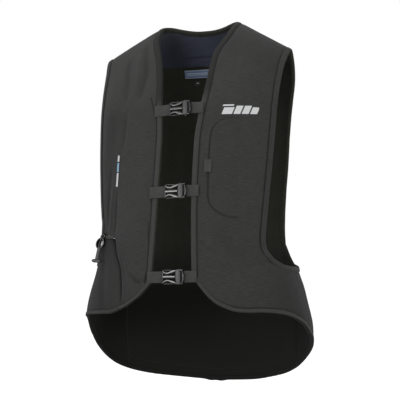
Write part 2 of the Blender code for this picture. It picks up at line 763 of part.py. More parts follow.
def box(name, centre, size, material, bevel=0.0):
    """Plain box, with rounded edges where a bevel is given."""
    mesh = bpy.data.meshes.new(name)
    work = bmesh.new()
    bmesh.ops.create_cube(work, size=1.0)
    for vert in work.verts:
        vert.co = Vector((vert.co.x * size[0], vert.co.y * size[1], vert.co.z * size[2]))
        vert.co += Vector(centre)
    if bevel:
        bmesh.ops.bevel(work, geom=work.edges[:], offset=bevel, segments=2, profile=0.6,
                        affect="EDGES")
    work.to_mesh(mesh)
    work.free()
    mesh.shade_smooth()
    mesh.materials.append(material)
    part = bpy.data.objects.new(name, mesh)
    bpy.context.scene.collection.objects.link(part)
    return part


def cut(target, cutter):
    """Take a box out of a body."""
    cutter.hide_render = True
    cutter.display_type = "WIRE"
    modifier = target.modifiers.new("cut_" + cutter.name, "BOOLEAN")
    modifier.operation = "DIFFERENCE"
    modifier.solver = "EXACT"
    modifier.object = cutter


def extruded(name, outline, thick, material):
    """Flat plate from an outline in X and Z, centred on Y."""
    count = len(outline)
    points = [(x, -thick / 2, z) for x, z in outline] + [(x, thick / 2, z) for x, z in outline]
    faces = [tuple(range(count)), tuple(reversed(range(count, 2 * count)))]
    for i in range(count):
        j = (i + 1) % count
        faces.append((j, i, count + i, count + j))
    return add_mesh(name, points, faces, material)


def male_outline():
    """Outline of the male half: body, two side prongs with heads, and the middle guide."""
    half = BUCKLE_WIDTH / 2
    upper = [(BUCKLE_LENGTH * x, half * z) for x, z in MALE_ROWS]
    return upper + [(x, -z) for x, z in reversed(upper)]


def build_male(name, plastic):
    """Male half with the slot that its webbing turns through, and the cutter of the slot."""
    male = extruded(name + "_buckle_male", male_outline(), MALE_THICK, plastic)
    width = WEB_WIDTH + 2 * SLOT_EASE
    slot = box(name + "_male_slot", (BAR_WIDTH + SLOT_LENGTH / 2, 0.0, 0.0),
               (SLOT_LENGTH, CUT_REACH, width), plastic)
    cut(male, slot)
    return [male, slot]


def build_female(name, plastic):
    """Female half with its cavity, side windows and webbing slot, and their cutters."""
    start = BUCKLE_LENGTH - FEMALE_LENGTH
    middle = start + FEMALE_LENGTH / 2
    size = (FEMALE_LENGTH, BUCKLE_THICK, BUCKLE_WIDTH)
    female = box(name + "_buckle_female", (middle, 0.0, 0.0), size, plastic, BUCKLE_ROUND)
    cavity = box(name + "_cavity", (start, 0.0, 0.0),
                 (2 * CAVITY_LENGTH, CAVITY_HEIGHT, CAVITY_WIDTH), plastic)
    cutters = [cavity]
    for sign, word in ((1, "upper"), (-1, "lower")):
        place_at = (start + WINDOW_START + WINDOW_LENGTH / 2, 0.0, sign * BUCKLE_WIDTH / 2)
        size = (WINDOW_LENGTH, WINDOW_HEIGHT, 2 * WINDOW_DEPTH)
        cutters.append(box(name + "_window_" + word, place_at, size, plastic))
    bar = BUCKLE_LENGTH - FEMALE_BAR
    width = WEB_WIDTH + 2 * SLOT_EASE
    cutters.append(box(name + "_female_slot", (bar - SLOT_LENGTH / 2, 0.0, 0.0),
                       (SLOT_LENGTH, CUT_REACH, width), plastic))
    deep = BUCKLE_THICK
    cutters.append(box(name + "_bar_relief",
                       (BUCKLE_LENGTH, BUCKLE_THICK / 2 - RELIEF_DEPTH + deep / 2, 0.0),
                       (2 * RELIEF_LENGTH, deep, BUCKLE_WIDTH + CUT_REACH), plastic))
    for cutter in cutters:
        cut(female, cutter)
    return [female] + cutters


def web_line(rows, seats, height, y, before):
    """Line of a length of webbing, from its seat on the edge band to its buckle or back."""
    line = [(BUCKLE_LENGTH * x, BUCKLE_THICK * deep) for x, deep in rows]
    seated = [BUCKLE_LENGTH * x for x in seats]
    seated = [(x, seat_height(BUCKLE_START + x, height) - y) for x in seated]
    return seated + line if before else line + seated


def build_closure(row, plastic, webbing):
    """One front closure: two lengths of webbing and the two halves of the buckle."""
    name, height, rise = row
    tilt = math.atan2(rise, STRAP_REACH)
    y = -FRONT_DEPTH * section("front", height) - BUCKLE_LIFT
    below = FRONT_DEPTH * section("front", height - WEB_WIDTH / 2)
    above = FRONT_DEPTH * section("front", height + WEB_WIDTH / 2)
    lean = math.atan2(below - above, WEB_WIDTH)
    half = BUCKLE_LENGTH / 2
    middle = Vector((BUCKLE_START + half, y, height))
    parts = build_male(name, plastic) + build_female(name, plastic)
    line = web_line(RIGHT_WEB_ROWS, RIGHT_SEATS, height, y, True)
    parts.append(strap_body(name + "_strap_right_side", line, webbing))
    line = web_line(LEFT_WEB_ROWS, LEFT_SEATS, height, y, False)
    parts.append(strap_body(name + "_strap_left_side", line, webbing))
    for part in parts:
        part.location = middle - half * Vector((math.cos(tilt), 0.0, math.sin(tilt)))
        part.rotation_euler = (-lean, -tilt, 0.0)


def seat_height(x, z):
    """Front-to-back place of webbing that lies on the band of a front edge."""
    return surface(*place(x, z)).y - BAND_GAP - BAND_THICK - SEAT_GAP - WEB_THICK / 2


def strap_body(name, line, material):
    """Length of webbing along a line in X and Y, which turns through a buckle's slot."""
    half = WEB_THICK / 2
    edges = (-WEB_WIDTH / 2, 0.0, WEB_WIDTH / 2)
    rows = []
    for i, (x, y) in enumerate(line):
        a = Vector((line[max(0, i - 1)][0], line[max(0, i - 1)][1]))
        b = Vector((line[min(len(line) - 1, i + 1)][0], line[min(len(line) - 1, i + 1)][1]))
        along = (b - a).normalized()
        rows.append((Vector((x, y)), Vector((-along.y, along.x))))
    outer = [[Vector((p.x + n.x * half, p.y + n.y * half, z)) for z in edges] for p, n in rows]
    inner = [[Vector((p.x - n.x * half, p.y - n.y * half, z)) for z in edges] for p, n in rows]
    return solid_from_rows(name, outer, inner, material)


def build_trigger(plastic, webbing):
    """Moulded trigger fitting hanging at the wearer's right, with the thin strap that holds it."""
    top = lifted(*place(*FITTING_TOP), FITTING_TOP_LIFT)
    foot = lifted(*place(*FITTING_FOOT), FITTING_FOOT_LIFT)
    axis = (foot - top).normalized()
    sides = FITTING_SIDES
    points = []
    for down, width, deep in FITTING_ROWS:
        for k in range(sides):
            turn = 2 * math.pi * k / sides
            across = width * FITTING_WIDTH / 2 * math.cos(turn)
            front = deep * FITTING_DEPTH / 2 * math.sin(turn)
            points.append(top + axis * down * FITTING_LENGTH + Vector((across, front, 0.0)))
    faces = [tuple(range(sides)), tuple(reversed(range(len(points) - sides, len(points))))]
    for i in range(len(FITTING_ROWS) - 1):
        for k in range(sides):
            a = i * sides + k
            b = i * sides + (k + 1) % sides
            faces.append((a, b, b + sides, a + sides))
    add_mesh("trigger_fitting", points, faces, plastic)
    grid = []
    for k in range(7):
        x = CORD_START[0] + (CORD_END[0] - CORD_START[0]) * k / 6
        z = CORD_START[1] + (CORD_END[1] - CORD_START[1]) * k / 6
        grid.append([place(x, z + CORD_WIDTH / 2), place(x, z - CORD_WIDTH / 2)])
    low = 2 * GAP
    shell("trigger_strap", grid, low + CORD_THICK, low, webbing)


def main():
    """Build the vest."""
    for old in list(bpy.data.objects):
        bpy.data.objects.remove(old, do_unlink=True)
    cloth = new_material("charcoal_cloth", (0.045, 0.045, 0.043), 0.85)
    band = new_material("charcoal_binding", (0.060, 0.060, 0.058), 0.80)
    navy = new_material("navy_lining", (0.020, 0.022, 0.030), 0.70)
    lining = new_material("black_lining", (0.010, 0.010, 0.009), 0.85)
    webbing = new_material("black_webbing", (0.050, 0.050, 0.050), 0.70)
    plastic = new_material("black_plastic", (0.012, 0.012, 0.012), 0.30)
    label = new_material("label_weave", (0.100, 0.130, 0.190), 0.60)
    reflective = new_material("reflective_grey", (0.600, 0.600, 0.600), 0.35)
    build_fronts(cloth, band)
    build_back(cloth, lining, navy)
    build_sides(cloth, band)
    build_bindings(band)
    build_flap(cloth, webbing)
    build_marks(reflective, reflective, label, webbing)
    for row in CLOSURES:
        build_closure(row, plastic, webbing)
    build_trigger(plastic, webbing)


main()
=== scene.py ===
"""Looks of the airbag riding vest: cloth, webbing, buckles, lights and camera."""
from __future__ import annotations

import logging
import math
from collections.abc import Callable, Sequence
from dataclasses import dataclass, field
from enum import Enum

import bmesh
import bpy
import numpy as np
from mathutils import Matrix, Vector


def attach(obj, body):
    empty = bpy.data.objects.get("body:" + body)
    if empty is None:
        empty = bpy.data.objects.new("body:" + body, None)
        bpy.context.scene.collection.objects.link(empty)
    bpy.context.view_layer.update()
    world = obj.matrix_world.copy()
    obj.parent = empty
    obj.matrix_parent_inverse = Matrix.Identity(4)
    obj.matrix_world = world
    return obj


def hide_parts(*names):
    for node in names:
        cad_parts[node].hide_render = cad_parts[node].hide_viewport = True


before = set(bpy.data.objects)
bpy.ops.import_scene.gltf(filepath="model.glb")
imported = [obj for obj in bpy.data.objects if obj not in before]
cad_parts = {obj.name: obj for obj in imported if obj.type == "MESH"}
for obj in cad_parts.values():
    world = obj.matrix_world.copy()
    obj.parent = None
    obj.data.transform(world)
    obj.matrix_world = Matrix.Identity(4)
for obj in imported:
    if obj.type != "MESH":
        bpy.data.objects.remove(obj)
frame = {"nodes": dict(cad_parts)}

LOG = logging.getLogger("vest")


class Side(Enum):
    """The wearer's two sides, with the sign of X on each."""

    LEFT = 1
    RIGHT = -1

    @property
    def word(self) -> str:
        """Name that the CAD nodes of this side start with."""
        return self.name.lower()


# Driving sizes in metres, shares and degrees, the same as those of the CAD model.
DROP = 0.6575
HALF_WIDTH = 0.194
FRONT_DEPTH = 0.13
BACK_DEPTH = 0.106
SECTION_POWER = 2.3
PANEL_THICK = 0.005
NECK_SHARE = 0.385
NECK_EASE = 0.15
TIP_SHARE = 0.95
NECK_HEIGHT = 0.031
TIP_HEIGHT = -0.033
SEAM_BACK = 0.02
NECK_DIP = 0.062
SIDE_SEAM_ANGLE = 88.0
BACK_SEAM_ANGLE = 127.5
SLIT_GAP = 0.0022
SLIT_SHUT = -0.495
SLIT_OPEN = -0.47
SLIT_TOP_END = 55.5
JOINT_GAP = 0.0003
BINDING_WIDTH = 0.009
# Roll over the shoulder: height at the neck, its growth to the tip, power and its growth.
ROLL_FRONT = (0.175, -0.065, 1.45, 0.35)
ROLL_BACK = (0.125, -0.045, 2.0, -0.2)

# Height as a share of DROP, then half width, front depth and back depth as shares of theirs.
SECTION_ROWS = (
    (-1.04, 1.093, 1.077, 1.113), (-0.875, 1.122, 1.054, 1.066), (-0.798, 1.124, 1.031, 1.019),
    (-0.738, 1.072, 1.023, 0.991), (-0.662, 0.985, 1.0, 0.962), (-0.586, 0.964, 0.977, 0.943),
    (-0.51, 0.969, 0.954, 0.943), (-0.433, 0.979, 0.915, 0.972), (-0.357, 0.99, 0.854, 1.0),
    (-0.221, 1.0, 0.738, 1.0), (-0.137, 0.99, 0.677, 1.0), (-0.046, 0.979, 0.631, 0.962),
    (0.076, 0.959, 0.615, 0.943),
)
# Height as a share of DROP, distance of the front edge from the middle as a share of HALF_WIDTH.
EDGE_ROWS = {
    Side.LEFT: (
        (-0.682, 0.2), (-0.655, 0.19), (-0.624, 0.186), (-0.541, 0.177), (-0.421, 0.169),
        (-0.304, 0.169), (-0.252, 0.182), (-0.213, 0.208), (-0.175, 0.226), (-0.124, 0.233),
        (-0.085, 0.24), (-0.054, 0.252), (-0.015, 0.314), (0.047, 0.379),
    ),
    Side.RIGHT: (
        (-0.682, 0.2), (-0.655, 0.19), (-0.624, 0.186), (-0.541, 0.168), (-0.421, 0.152),
        (-0.304, 0.149), (-0.252, 0.156), (-0.213, 0.172), (-0.175, 0.185), (-0.124, 0.216),
        (-0.085, 0.249), (-0.054, 0.288), (-0.015, 0.348), (0.047, 0.379),
    ),
}
# Height as a share of DROP, share of the section's half width at the armhole's edge.
ARM_FRONT_ROWS = {
    Side.LEFT: (
        (-0.586, 0.824), (-0.56, 0.821), (-0.466, 0.836), (-0.399, 0.844), (-0.331, 0.851),
        (-0.285, 0.857), (-0.23, 0.862), (-0.189, 0.872), (-0.148, 0.886), (-0.098, 0.908),
        (-0.05, 0.95),
    ),
    Side.RIGHT: (
        (-0.586, 0.824), (-0.529, 0.85), (-0.466, 0.874), (-0.365, 0.892), (-0.316, 0.898),
        (-0.259, 0.9), (-0.195, 0.896), (-0.13, 0.905), (-0.098, 0.912), (-0.05, 0.95),
    ),
}
ARM_BACK_ROWS = (
    (-0.585, 0.818), (-0.55, 0.807), (-0.491, 0.806), (-0.418, 0.811), (-0.374, 0.82),
    (-0.281, 0.831), (-0.222, 0.847), (-0.172, 0.877), (-0.123, 0.917), (-0.1, 0.93),
    (-0.05, 0.95),
)
# Angle round the body in degrees, height of the armhole's floor or of the hem as a share of DROP.
ARM_FLOOR_ROWS = (
    (53.2, -0.586), (56.4, -0.605), (61.5, -0.621), (69.6, -0.634), (82.0, -0.641),
    (98.0, -0.645), (115.6, -0.64), (124.5, -0.608), (127.5, -0.585),
)
HEM_ROWS = {
    Side.LEFT: (
        (9.9, -0.661), (13.7, -0.7), (17.0, -0.72), (20.0, -0.733), (23.0, -0.742),
        (29.0, -0.751), (35.0, -0.753), (47.0, -0.753), (56.0, -0.758), (62.0, -0.763),
        (68.0, -0.772), (74.0, -0.78), (80.0, -0.796), (86.0, -0.814), (90.0, -0.83),
        (104.0, -0.868), (116.8, -0.9), (126.3, -0.931), (139.0, -0.96), (159.9, -0.989),
        (180.0, -1.0),
    ),
    Side.RIGHT: (
        (8.7, -0.68), (11.5, -0.7), (14.9, -0.72), (21.3, -0.745), (30.1, -0.768),
        (53.0, -0.779), (61.6, -0.783), (80.5, -0.801), (86.0, -0.826), (90.0, -0.861),
        (104.0, -0.919), (116.5, -0.953), (129.8, -0.975), (144.5, -0.989), (159.5, -0.995),
        (180.0, -1.0),
    ),
}
# Height as a share of DROP, angle of the slit on the wearer's right.
SLIT_ROWS = (
    (-0.8, 25.0), (-0.713, 26.3), (-0.646, 30.2), (-0.634, 31.5), (-0.611, 34.7),
    (-0.58, 36.5), (-0.566, 38.5), (-0.552, 51.0), (-0.54, 55.0),
)
# Heights of the grid rows at a front panel's outer edge, as shares of DROP.
UPPER_LEVELS = (
    -0.05, -0.054, -0.07, -0.098, -0.134, -0.175, -0.22, -0.268, -0.316, -0.366, -0.416,
)
LEVELS = {
    Side.LEFT: UPPER_LEVELS + (-0.466, -0.516, -0.56, -0.59, -0.609, -0.624, -0.635, -0.6405,
                               -0.645, -0.68, -0.725, -0.775, -0.822),
    Side.RIGHT: UPPER_LEVELS + (-0.462, -0.5, -0.528, -0.541, -0.552, -0.566, -0.58, -0.6,
                                -0.622, -0.64, -0.662, -0.695, -0.73, -0.756),
}
# Height of the corner where the front edge meets the hem, in metres.
CORNERS = {Side.LEFT: -0.4344, Side.RIGHT: -0.4484}
# Height at the outer edge and height at the front edge, both as shares of DROP.
INNER_ROWS = {
    Side.LEFT: (
        (-0.822, -0.661), (-0.645, -0.646), (-0.59, -0.602), (-0.5, -0.512), (-0.3, -0.27),
        (-0.05, 0.047),
    ),
    Side.RIGHT: (
        (-0.756, -0.68), (-0.64, -0.64), (-0.566, -0.572), (-0.54, -0.545), (-0.5, -0.505),
        (-0.3, -0.27), (-0.05, 0.047),
    ),
}

# Shares of the way down the back at which its grid has rows.
BACK_LEVELS = (
    0.0, 0.004, 0.015, 0.035, 0.06, 0.085, 0.115, 0.1475, 0.15, 0.18, 0.23, 0.29, 0.36, 0.43,
    0.5, 0.55, 0.59, 0.63, 0.67, 0.71, 0.76, 0.81, 0.87, 0.93, 0.97, 1.0,
)
# Share of the flap's height, then its inner and outer edge as shares of its width.
FLAP_ROWS = (
    (0.0, 0.36, 1.0), (0.05, 0.17, 1.0), (0.11, 0.05, 1.0), (0.2, 0.01, 1.0),
    (0.35, 0.0, 1.0), (0.5, 0.0, 1.0), (0.65, 0.01, 1.0), (0.78, 0.02, 1.0),
    (0.86, 0.06, 1.0), (0.92, 0.2, 0.98), (0.97, 0.42, 0.96), (1.0, 0.62, 0.92),
)
FLAP_TOP = -0.164
FLAP_HEIGHT = 0.17
FLAP_INNER = 0.062
FLAP_WIDTH = 0.062

Array = np.ndarray


def linear(hex_colour: str) -> tuple[float, float, float, float]:
    """Scene-linear colour of an sRGB hex colour.

    Args:
        hex_colour: six hex digits with a leading hash.

    Returns:
        Red, green, blue and alpha for a shader socket.
    """
    parts = [int(hex_colour[i:i + 2], 16) / 255 for i in (1, 3, 5)]
    red, green, blue = (c / 12.92 if c <= 0.04045 else ((c + 0.055) / 1.055) ** 2.4
                        for c in parts)
    return red, green, blue, 1.0


def smoothstep(low: float, high: float, value: Array) -> Array:
    """Soft step from 0 to 1 as a value passes from low to high."""
    share = np.clip((value - low) / (high - low), 0.0, 1.0)
    return share * share * (3 - 2 * share)


@dataclass(frozen=True)
class SmoothTable:
    """A short table read as one smooth curve.

    Args:
        rows: pairs or longer rows with the key first.
        spread: width of the smoothing, in the key's unit.
        column: column that is read.
    """

    rows: tuple[tuple[float, ...], ...]
    spread: float
    column: int = 1
    fine: dict[str, Array] = field(default_factory=dict, compare=False)

    def __call__(self, key: Array | float) -> Array:
        """Smooth value of the column at a key."""
        if not self.fine:
            ordered = sorted(self.rows, key=lambda row: row[0])
            keys = np.array([r[0] for r in ordered])
            values = np.array([r[self.column] for r in ordered])
            pad = 3 * self.spread
            dense = np.linspace(keys[0] - pad, keys[-1] + pad, 900)
            raw = np.interp(dense, keys, values)
            low = (values[1] - values[0]) / (keys[1] - keys[0])
            high = (values[-1] - values[-2]) / (keys[-1] - keys[-2])
            raw = np.where(dense < keys[0], values[0] + low * (dense - keys[0]), raw)
            raw = np.where(dense > keys[-1], values[-1] + high * (dense - keys[-1]), raw)
            step = dense[1] - dense[0]
            reach = max(1, int(2.5 * self.spread / step))
            kernel = np.exp(-0.5 * ((np.arange(-reach, reach + 1) * step) / self.spread) ** 2)
            kernel /= kernel.sum()
            padded = np.pad(raw, reach, mode="reflect", reflect_type="odd")
            self.fine["keys"] = dense
            self.fine["values"] = np.convolve(padded, kernel, mode="valid")
        return np.interp(key, self.fine["keys"], self.fine["values"])


class BodyForm:
    """The vest's outer surface, read at an angle round the body and a distance down it."""

    def __init__(self) -> None:
        """Make the smooth section tables."""
        self.width = SmoothTable(SECTION_ROWS, 0.026, 1)
        self.front = SmoothTable(SECTION_ROWS, 0.026, 2)
        self.back = SmoothTable(SECTION_ROWS, 0.026, 3)

    @staticmethod
    def share(angle: Array) -> Array:
        """Share of the half width at an angle in degrees."""
        return np.abs(np.sin(np.radians(np.abs(angle)))) ** (2 / SECTION_POWER)

    @staticmethod
    def angle(share: Array | float, back: bool = False) -> Array:
        """Angle in degrees at a share of the half width."""
        turn = np.degrees(np.arcsin(np.minimum(1.0, share) ** (SECTION_POWER / 2)))
        return 180.0 - turn if back else turn

    @staticmethod
    def step(share: Array) -> Array:
        """How far a share lies from the neck point to the shoulder tip."""
        step = (share - NECK_SHARE) / (TIP_SHARE - NECK_SHARE)
        eased = np.maximum(0.0, step + NECK_EASE) ** 2 / (4 * NECK_EASE)
        return np.where(step > NECK_EASE, step, eased)

    def top(self, share: Array) -> Array:
        """Height of the shoulder line at a share."""
        return NECK_HEIGHT + (TIP_HEIGHT - NECK_HEIGHT) * self.step(share)

    def roll(self, share: Array, back: Array) -> tuple[Array, Array]:
        """Height and power of the roll over the shoulder."""
        step = np.minimum(1.0, self.step(share))
        behind = ROLL_BACK[0] + ROLL_BACK[1] * np.minimum(1.0, share / 0.6)
        height = np.where(back, behind, ROLL_FRONT[0] + ROLL_FRONT[1] * step)
        power = np.where(back, ROLL_BACK[2] + ROLL_BACK[3] * step,
                         ROLL_FRONT[2] + ROLL_FRONT[3] * step)
        return height, power

    def down(self, angle: Array, z: Array) -> Array:
        """Distance below the shoulder line, along the surface, of a height at an angle."""
        share = self.share(angle)
        depth = np.maximum(self.top(share) - z, 0.0)
        height, power = self.roll(share, np.abs(angle) > 90.0)
        curved = height * power * (depth / height) ** (1 / power)
        return np.where(depth >= height, height * power + depth - height, curved)

    @staticmethod
    def behind(angle: Array) -> Array:
        """Whether angles lie on the back half."""
        return np.abs(np.mod(np.asarray(angle, float) + 180.0, 360.0) - 180.0) > 90.0

    def point(self, angle: Array, q: Array, back: Array | None = None) -> Array:
        """Points of the surface.

        Args:
            angle: degrees round the body from the front, positive on the wearer's left.
            q: distance below the shoulder line in metres.
            back: half whose roll is used, where it isn't the angle's own.

        Returns:
            Array of the inputs' shape with X, Y and Z added as its last axis.
        """
        angle = np.mod(np.asarray(angle, float) + 180.0, 360.0) - 180.0
        side = np.where(angle >= 0, 1.0, -1.0)
        own = self.behind(angle)
        back = own if back is None else back
        share = self.share(angle)
        reach = np.abs(np.cos(np.radians(np.abs(angle)))) ** (2 / SECTION_POWER)
        reach = np.where(back == own, reach, -reach)
        height, power = self.roll(share, back)
        w = np.clip(q / (height * power), 0.0, 1.0)
        depth = height * w ** power + np.maximum(0.0, q - height * power)
        roll = np.maximum(0.0, 1 - (1 - w ** power) ** power) ** (1 / power)
        z = self.top(share) - depth
        seam = SEAM_BACK * np.where(share < TIP_SHARE, 1 - self.step(share), 0.0)
        key = z / DROP
        behind = seam + (BACK_DEPTH * self.back(key) - seam) * reach * roll
        before = seam - (FRONT_DEPTH * self.front(key) + seam) * reach * roll
        x = side * HALF_WIDTH * self.width(key) * share
        return np.stack([x, np.where(back, behind, before), z], axis=-1)

    def place(self, x: Array, z: Array) -> tuple[Array, Array]:
        """Surface coordinates on the front at a sideways place and a height."""
        x = np.asarray(x, float)
        angle = self.angle(np.abs(x) / (HALF_WIDTH * self.width(np.asarray(z) / DROP)))
        angle = np.where(x >= 0, angle, -angle)
        return angle, self.down(angle, z)

    def frame(self, angle: Array, q: Array) -> tuple[Array, Array, Array]:
        """Outward direction and the two slopes of the surface at surface coordinates."""
        da, dq = 0.15, 0.0006
        low = np.maximum(0.0, q - dq)
        back = self.behind(angle)
        ahead, astern = self.point(angle + da, q, back), self.point(angle - da, q, back)
        along = (ahead - astern) / (2 * da)
        down = (self.point(angle, q + dq) - self.point(angle, low)) / (q + dq - low)[..., None]
        out = np.cross(down, along)
        out /= np.linalg.norm(out, axis=-1, keepdims=True)
        ease = np.clip(1 - q / 0.02, 0.0, 1.0)[..., None]
        out = out * (1 - ease) + np.array((0.0, 0.0, 1.0)) * ease
        return out / np.linalg.norm(out, axis=-1, keepdims=True), along, down

    def inset(self, angle: Array, q: Array, direction: Array, width: Array | float
              ) -> tuple[Array, Array]:
        """Surface coordinates a short way off along the surface.

        Args:
            angle: degrees round the body.
            q: distance below the shoulder line.
            direction: unit direction that lies in the surface.
            width: how far to go in metres.

        Returns:
            Angle and distance of the places reached.
        """
        _, along, down = self.frame(angle, q)
        aa = (along * along).sum(-1)
        ad = (along * down).sum(-1)
        dd = (down * down).sum(-1)
        pa = (direction * along).sum(-1) * width
        pd = (direction * down).sum(-1) * width
        det = aa * dd - ad * ad
        near = angle + (pa * dd - pd * ad) / det
        low = np.maximum(0.0, q + (pd * aa - pa * ad) / det)
        back = self.behind(angle)
        crossed = self.down(near, self.point(near, low, back)[..., 2])
        return near, np.where(back == self.behind(near), low, crossed)

    def refine(self, angle: Array, q: Array, count: int, axis: int) -> tuple[Array, Array]:
        """Smooth denser surface coordinates, through heights where they pass the side.

        Args:
            angle: coarse angles.
            q: coarse distances below the shoulder line.
            count: samples along the axis in the result.
            axis: axis that is resampled.

        Returns:
            Denser angles and distances.
        """
        fine = catmull(angle, count, axis)
        if self.behind(angle).all() or not self.behind(angle).any():
            return fine, np.maximum(0.0, catmull(q, count, axis))
        return fine, self.down(fine, catmull(self.point(angle, q)[..., 2], count, axis))


FORM = BodyForm()


class Tone(Enum):
    """sRGB colours read off the photograph, one for each kind of material."""

    SHELL = "#313130"
    SHELL_LIGHT = "#414140"
    BAND = "#3c3c3a"
    BAND_LIGHT = "#494947"
    LINING = "#262720"
    LINING_LIGHT = "#3a3b32"
    NAVY = "#333646"
    NAVY_LIGHT = "#484d60"
    WEBBING = "#3d3d3c"
    WEBBING_LIGHT = "#4e4e4c"
    PLASTIC = "#0d0d0d"
    GRAINED = "#3c3c3d"
    LABEL = "#6c7e9e"
    LABEL_EDGE = "#b4c0d0"
    SILVER = "#d9dadb"
    SKY = "#8db9d6"
    THREAD = "#333332"
    STUDIO = "#ffffff"


class NodeTree:
    """Thin typed cover over a node tree that adds nodes and links in one call."""

    def __init__(self, tree: bpy.types.NodeTree) -> None:
        """Keep the tree and empty it."""
        self.tree = tree
        tree.nodes.clear()

    def add(self, kind: str, settings: dict | None = None, **inputs: object) -> bpy.types.Node:
        """Add a node.

        Args:
            kind: node type.
            settings: properties of the node.
            inputs: values, sockets or nodes, by socket name with underscores or by i and number.

        Returns:
            The new node.
        """
        node = self.tree.nodes.new(kind)
        for name, value in (settings or {}).items():
            setattr(node, name, value)
        for key, value in inputs.items():
            if key[0] == "i" and key[1:].isdigit():
                socket = node.inputs[int(key[1:])]
            else:
                socket = node.inputs[key.replace("_", " ")]
            if isinstance(value, bpy.types.Node):
                value = value.outputs[0]
            if isinstance(value, bpy.types.NodeSocket):
                self.tree.links.new(value, socket)
            else:
                socket.default_value = value
        return node


def start_material(name: str) -> tuple[bpy.types.Material, NodeTree]:
    """New material with its empty node tree."""
    material = bpy.data.materials.new(name)
    material.use_nodes = True
    return material, NodeTree(material.node_tree)


@dataclass(frozen=True)
class Woven:
    """Woven cloth: yarns in two directions with streaky tone, soft sheen, and painted shade at
    seams and toward the tail.

    Args:
        name: material name, for the real cloth and its making.
        dark: tone of the darker yarns.
        light: tone of the lighter yarns.
        pitch: width of one yarn in metres.
        streak: length of a tone streak in metres.
        roughness: Principled roughness.
        sheen: Principled sheen weight.
        depth: height of the weave relief in metres.
        shade: how dark the painted shade at seams, grooves and shaded zones gets.
        fade: how far the cloth is darkened toward the tail, as painted shade inside the tail.
        fade_heights: heights at which the painted tail shade starts and is full, in metres.
        dash: height of a tone streak in yarn widths.
        patch: size of the broad soft patches in metres.
    """

    name: str
    dark: Tone
    light: Tone
    pitch: float = 0.0011
    streak: float = 0.012
    roughness: float = 0.88
    sheen: float = 0.12
    depth: float = 0.00022
    shade: float = 0.75
    fade: float = 0.0
    fade_heights: tuple[float, float] = (-0.38, -0.48)
    dash: float = 1.6
    patch: float = 1 / 38

    def build(self) -> bpy.types.Material:
        """Material with the weave laid along the cloth's own UV map."""
        material, nodes = start_material(self.name)
        times, mixed = {"operation": "MULTIPLY"}, {"data_type": "RGBA"}
        uv = nodes.add("ShaderNodeUVMap", {"uv_map": "cloth"})
        # Streaks along the weft give the photographed melange its short level dashes.
        streak = (1 / self.streak, 1 / (self.dash * self.pitch), 0.0)
        place = nodes.add("ShaderNodeVectorMath", times, i0=uv, i1=streak)
        streaks = nodes.add("ShaderNodeTexNoise", {"noise_dimensions": "2D"}, Vector=place,
                            Scale=1.0, Detail=2.0, Roughness=0.6)
        # Broad soft patches keep large areas from looking painted.
        patch = nodes.add("ShaderNodeTexNoise", {"noise_dimensions": "2D"}, Vector=uv,
                          Scale=1 / self.patch, Detail=3.0, Roughness=0.55)
        tone = nodes.add("ShaderNodeMath", times, i0=streaks, i1=1.5)
        tone = nodes.add("ShaderNodeMath", {"operation": "MULTIPLY_ADD"}, i0=patch, i1=0.5, i2=tone)
        tone = nodes.add("ShaderNodeMapRange", {"clamp": True}, Value=tone, i1=0.45, i2=1.55)
        colour = nodes.add("ShaderNodeMix", mixed, i0=tone, i6=linear(self.dark.value),
                           i7=linear(self.light.value)).outputs[2]
        # Painted shade darkens the cloth where two layers meet, in grooves and slits, and over
        # zones that turn away from the light.
        crease = nodes.add("ShaderNodeAttribute", {"attribute_name": "crease"}).outputs[2]
        keep = nodes.add("ShaderNodeMath", times, i0=crease, i1=self.shade)
        colour = nodes.add("ShaderNodeMix", mixed, i0=keep, i6=colour,
                           i7=(0.004, 0.004, 0.004, 1.0)).outputs[2]
        if self.fade:
            # Painted shade darkens the cloth toward the tail, standing in for the shadow on its
            # inner side.
            place = nodes.add("ShaderNodeTexCoord").outputs["Object"]
            level = nodes.add("ShaderNodeSeparateXYZ", None, Vector=place).outputs[2]
            high, low = self.fade_heights
            keep = nodes.add("ShaderNodeMapRange", {"clamp": True}, Value=level, i1=high, i2=low,
                             i4=self.fade)
            colour = nodes.add("ShaderNodeMix", mixed, i0=keep, i6=colour,
                               i7=(0.001, 0.001, 0.001, 1.0)).outputs[2]
        # Two sine ridges crossing at the yarn pitch stand for warp and weft.
        turns = nodes.add("ShaderNodeVectorMath", {"operation": "SCALE"}, i0=uv,
                          Scale=2 * math.pi / self.pitch)
        ridges = nodes.add("ShaderNodeVectorMath", {"operation": "SINE"}, i0=turns)
        split = nodes.add("ShaderNodeSeparateXYZ", None, Vector=ridges).outputs
        weave = nodes.add("ShaderNodeMath", times, i0=split[0], i1=split[1])
        bump = nodes.add("ShaderNodeBump", None, Strength=0.6, Distance=self.depth, Height=weave)
        shader = nodes.add("ShaderNodeBsdfPrincipled", None, Base_Color=colour,
                           Roughness=self.roughness, IOR=1.46, Sheen_Weight=self.sheen,
                           Sheen_Roughness=0.5, Specular_IOR_Level=0.25, Normal=bump)
        nodes.add("ShaderNodeOutputMaterial", None, Surface=shader)
        return material


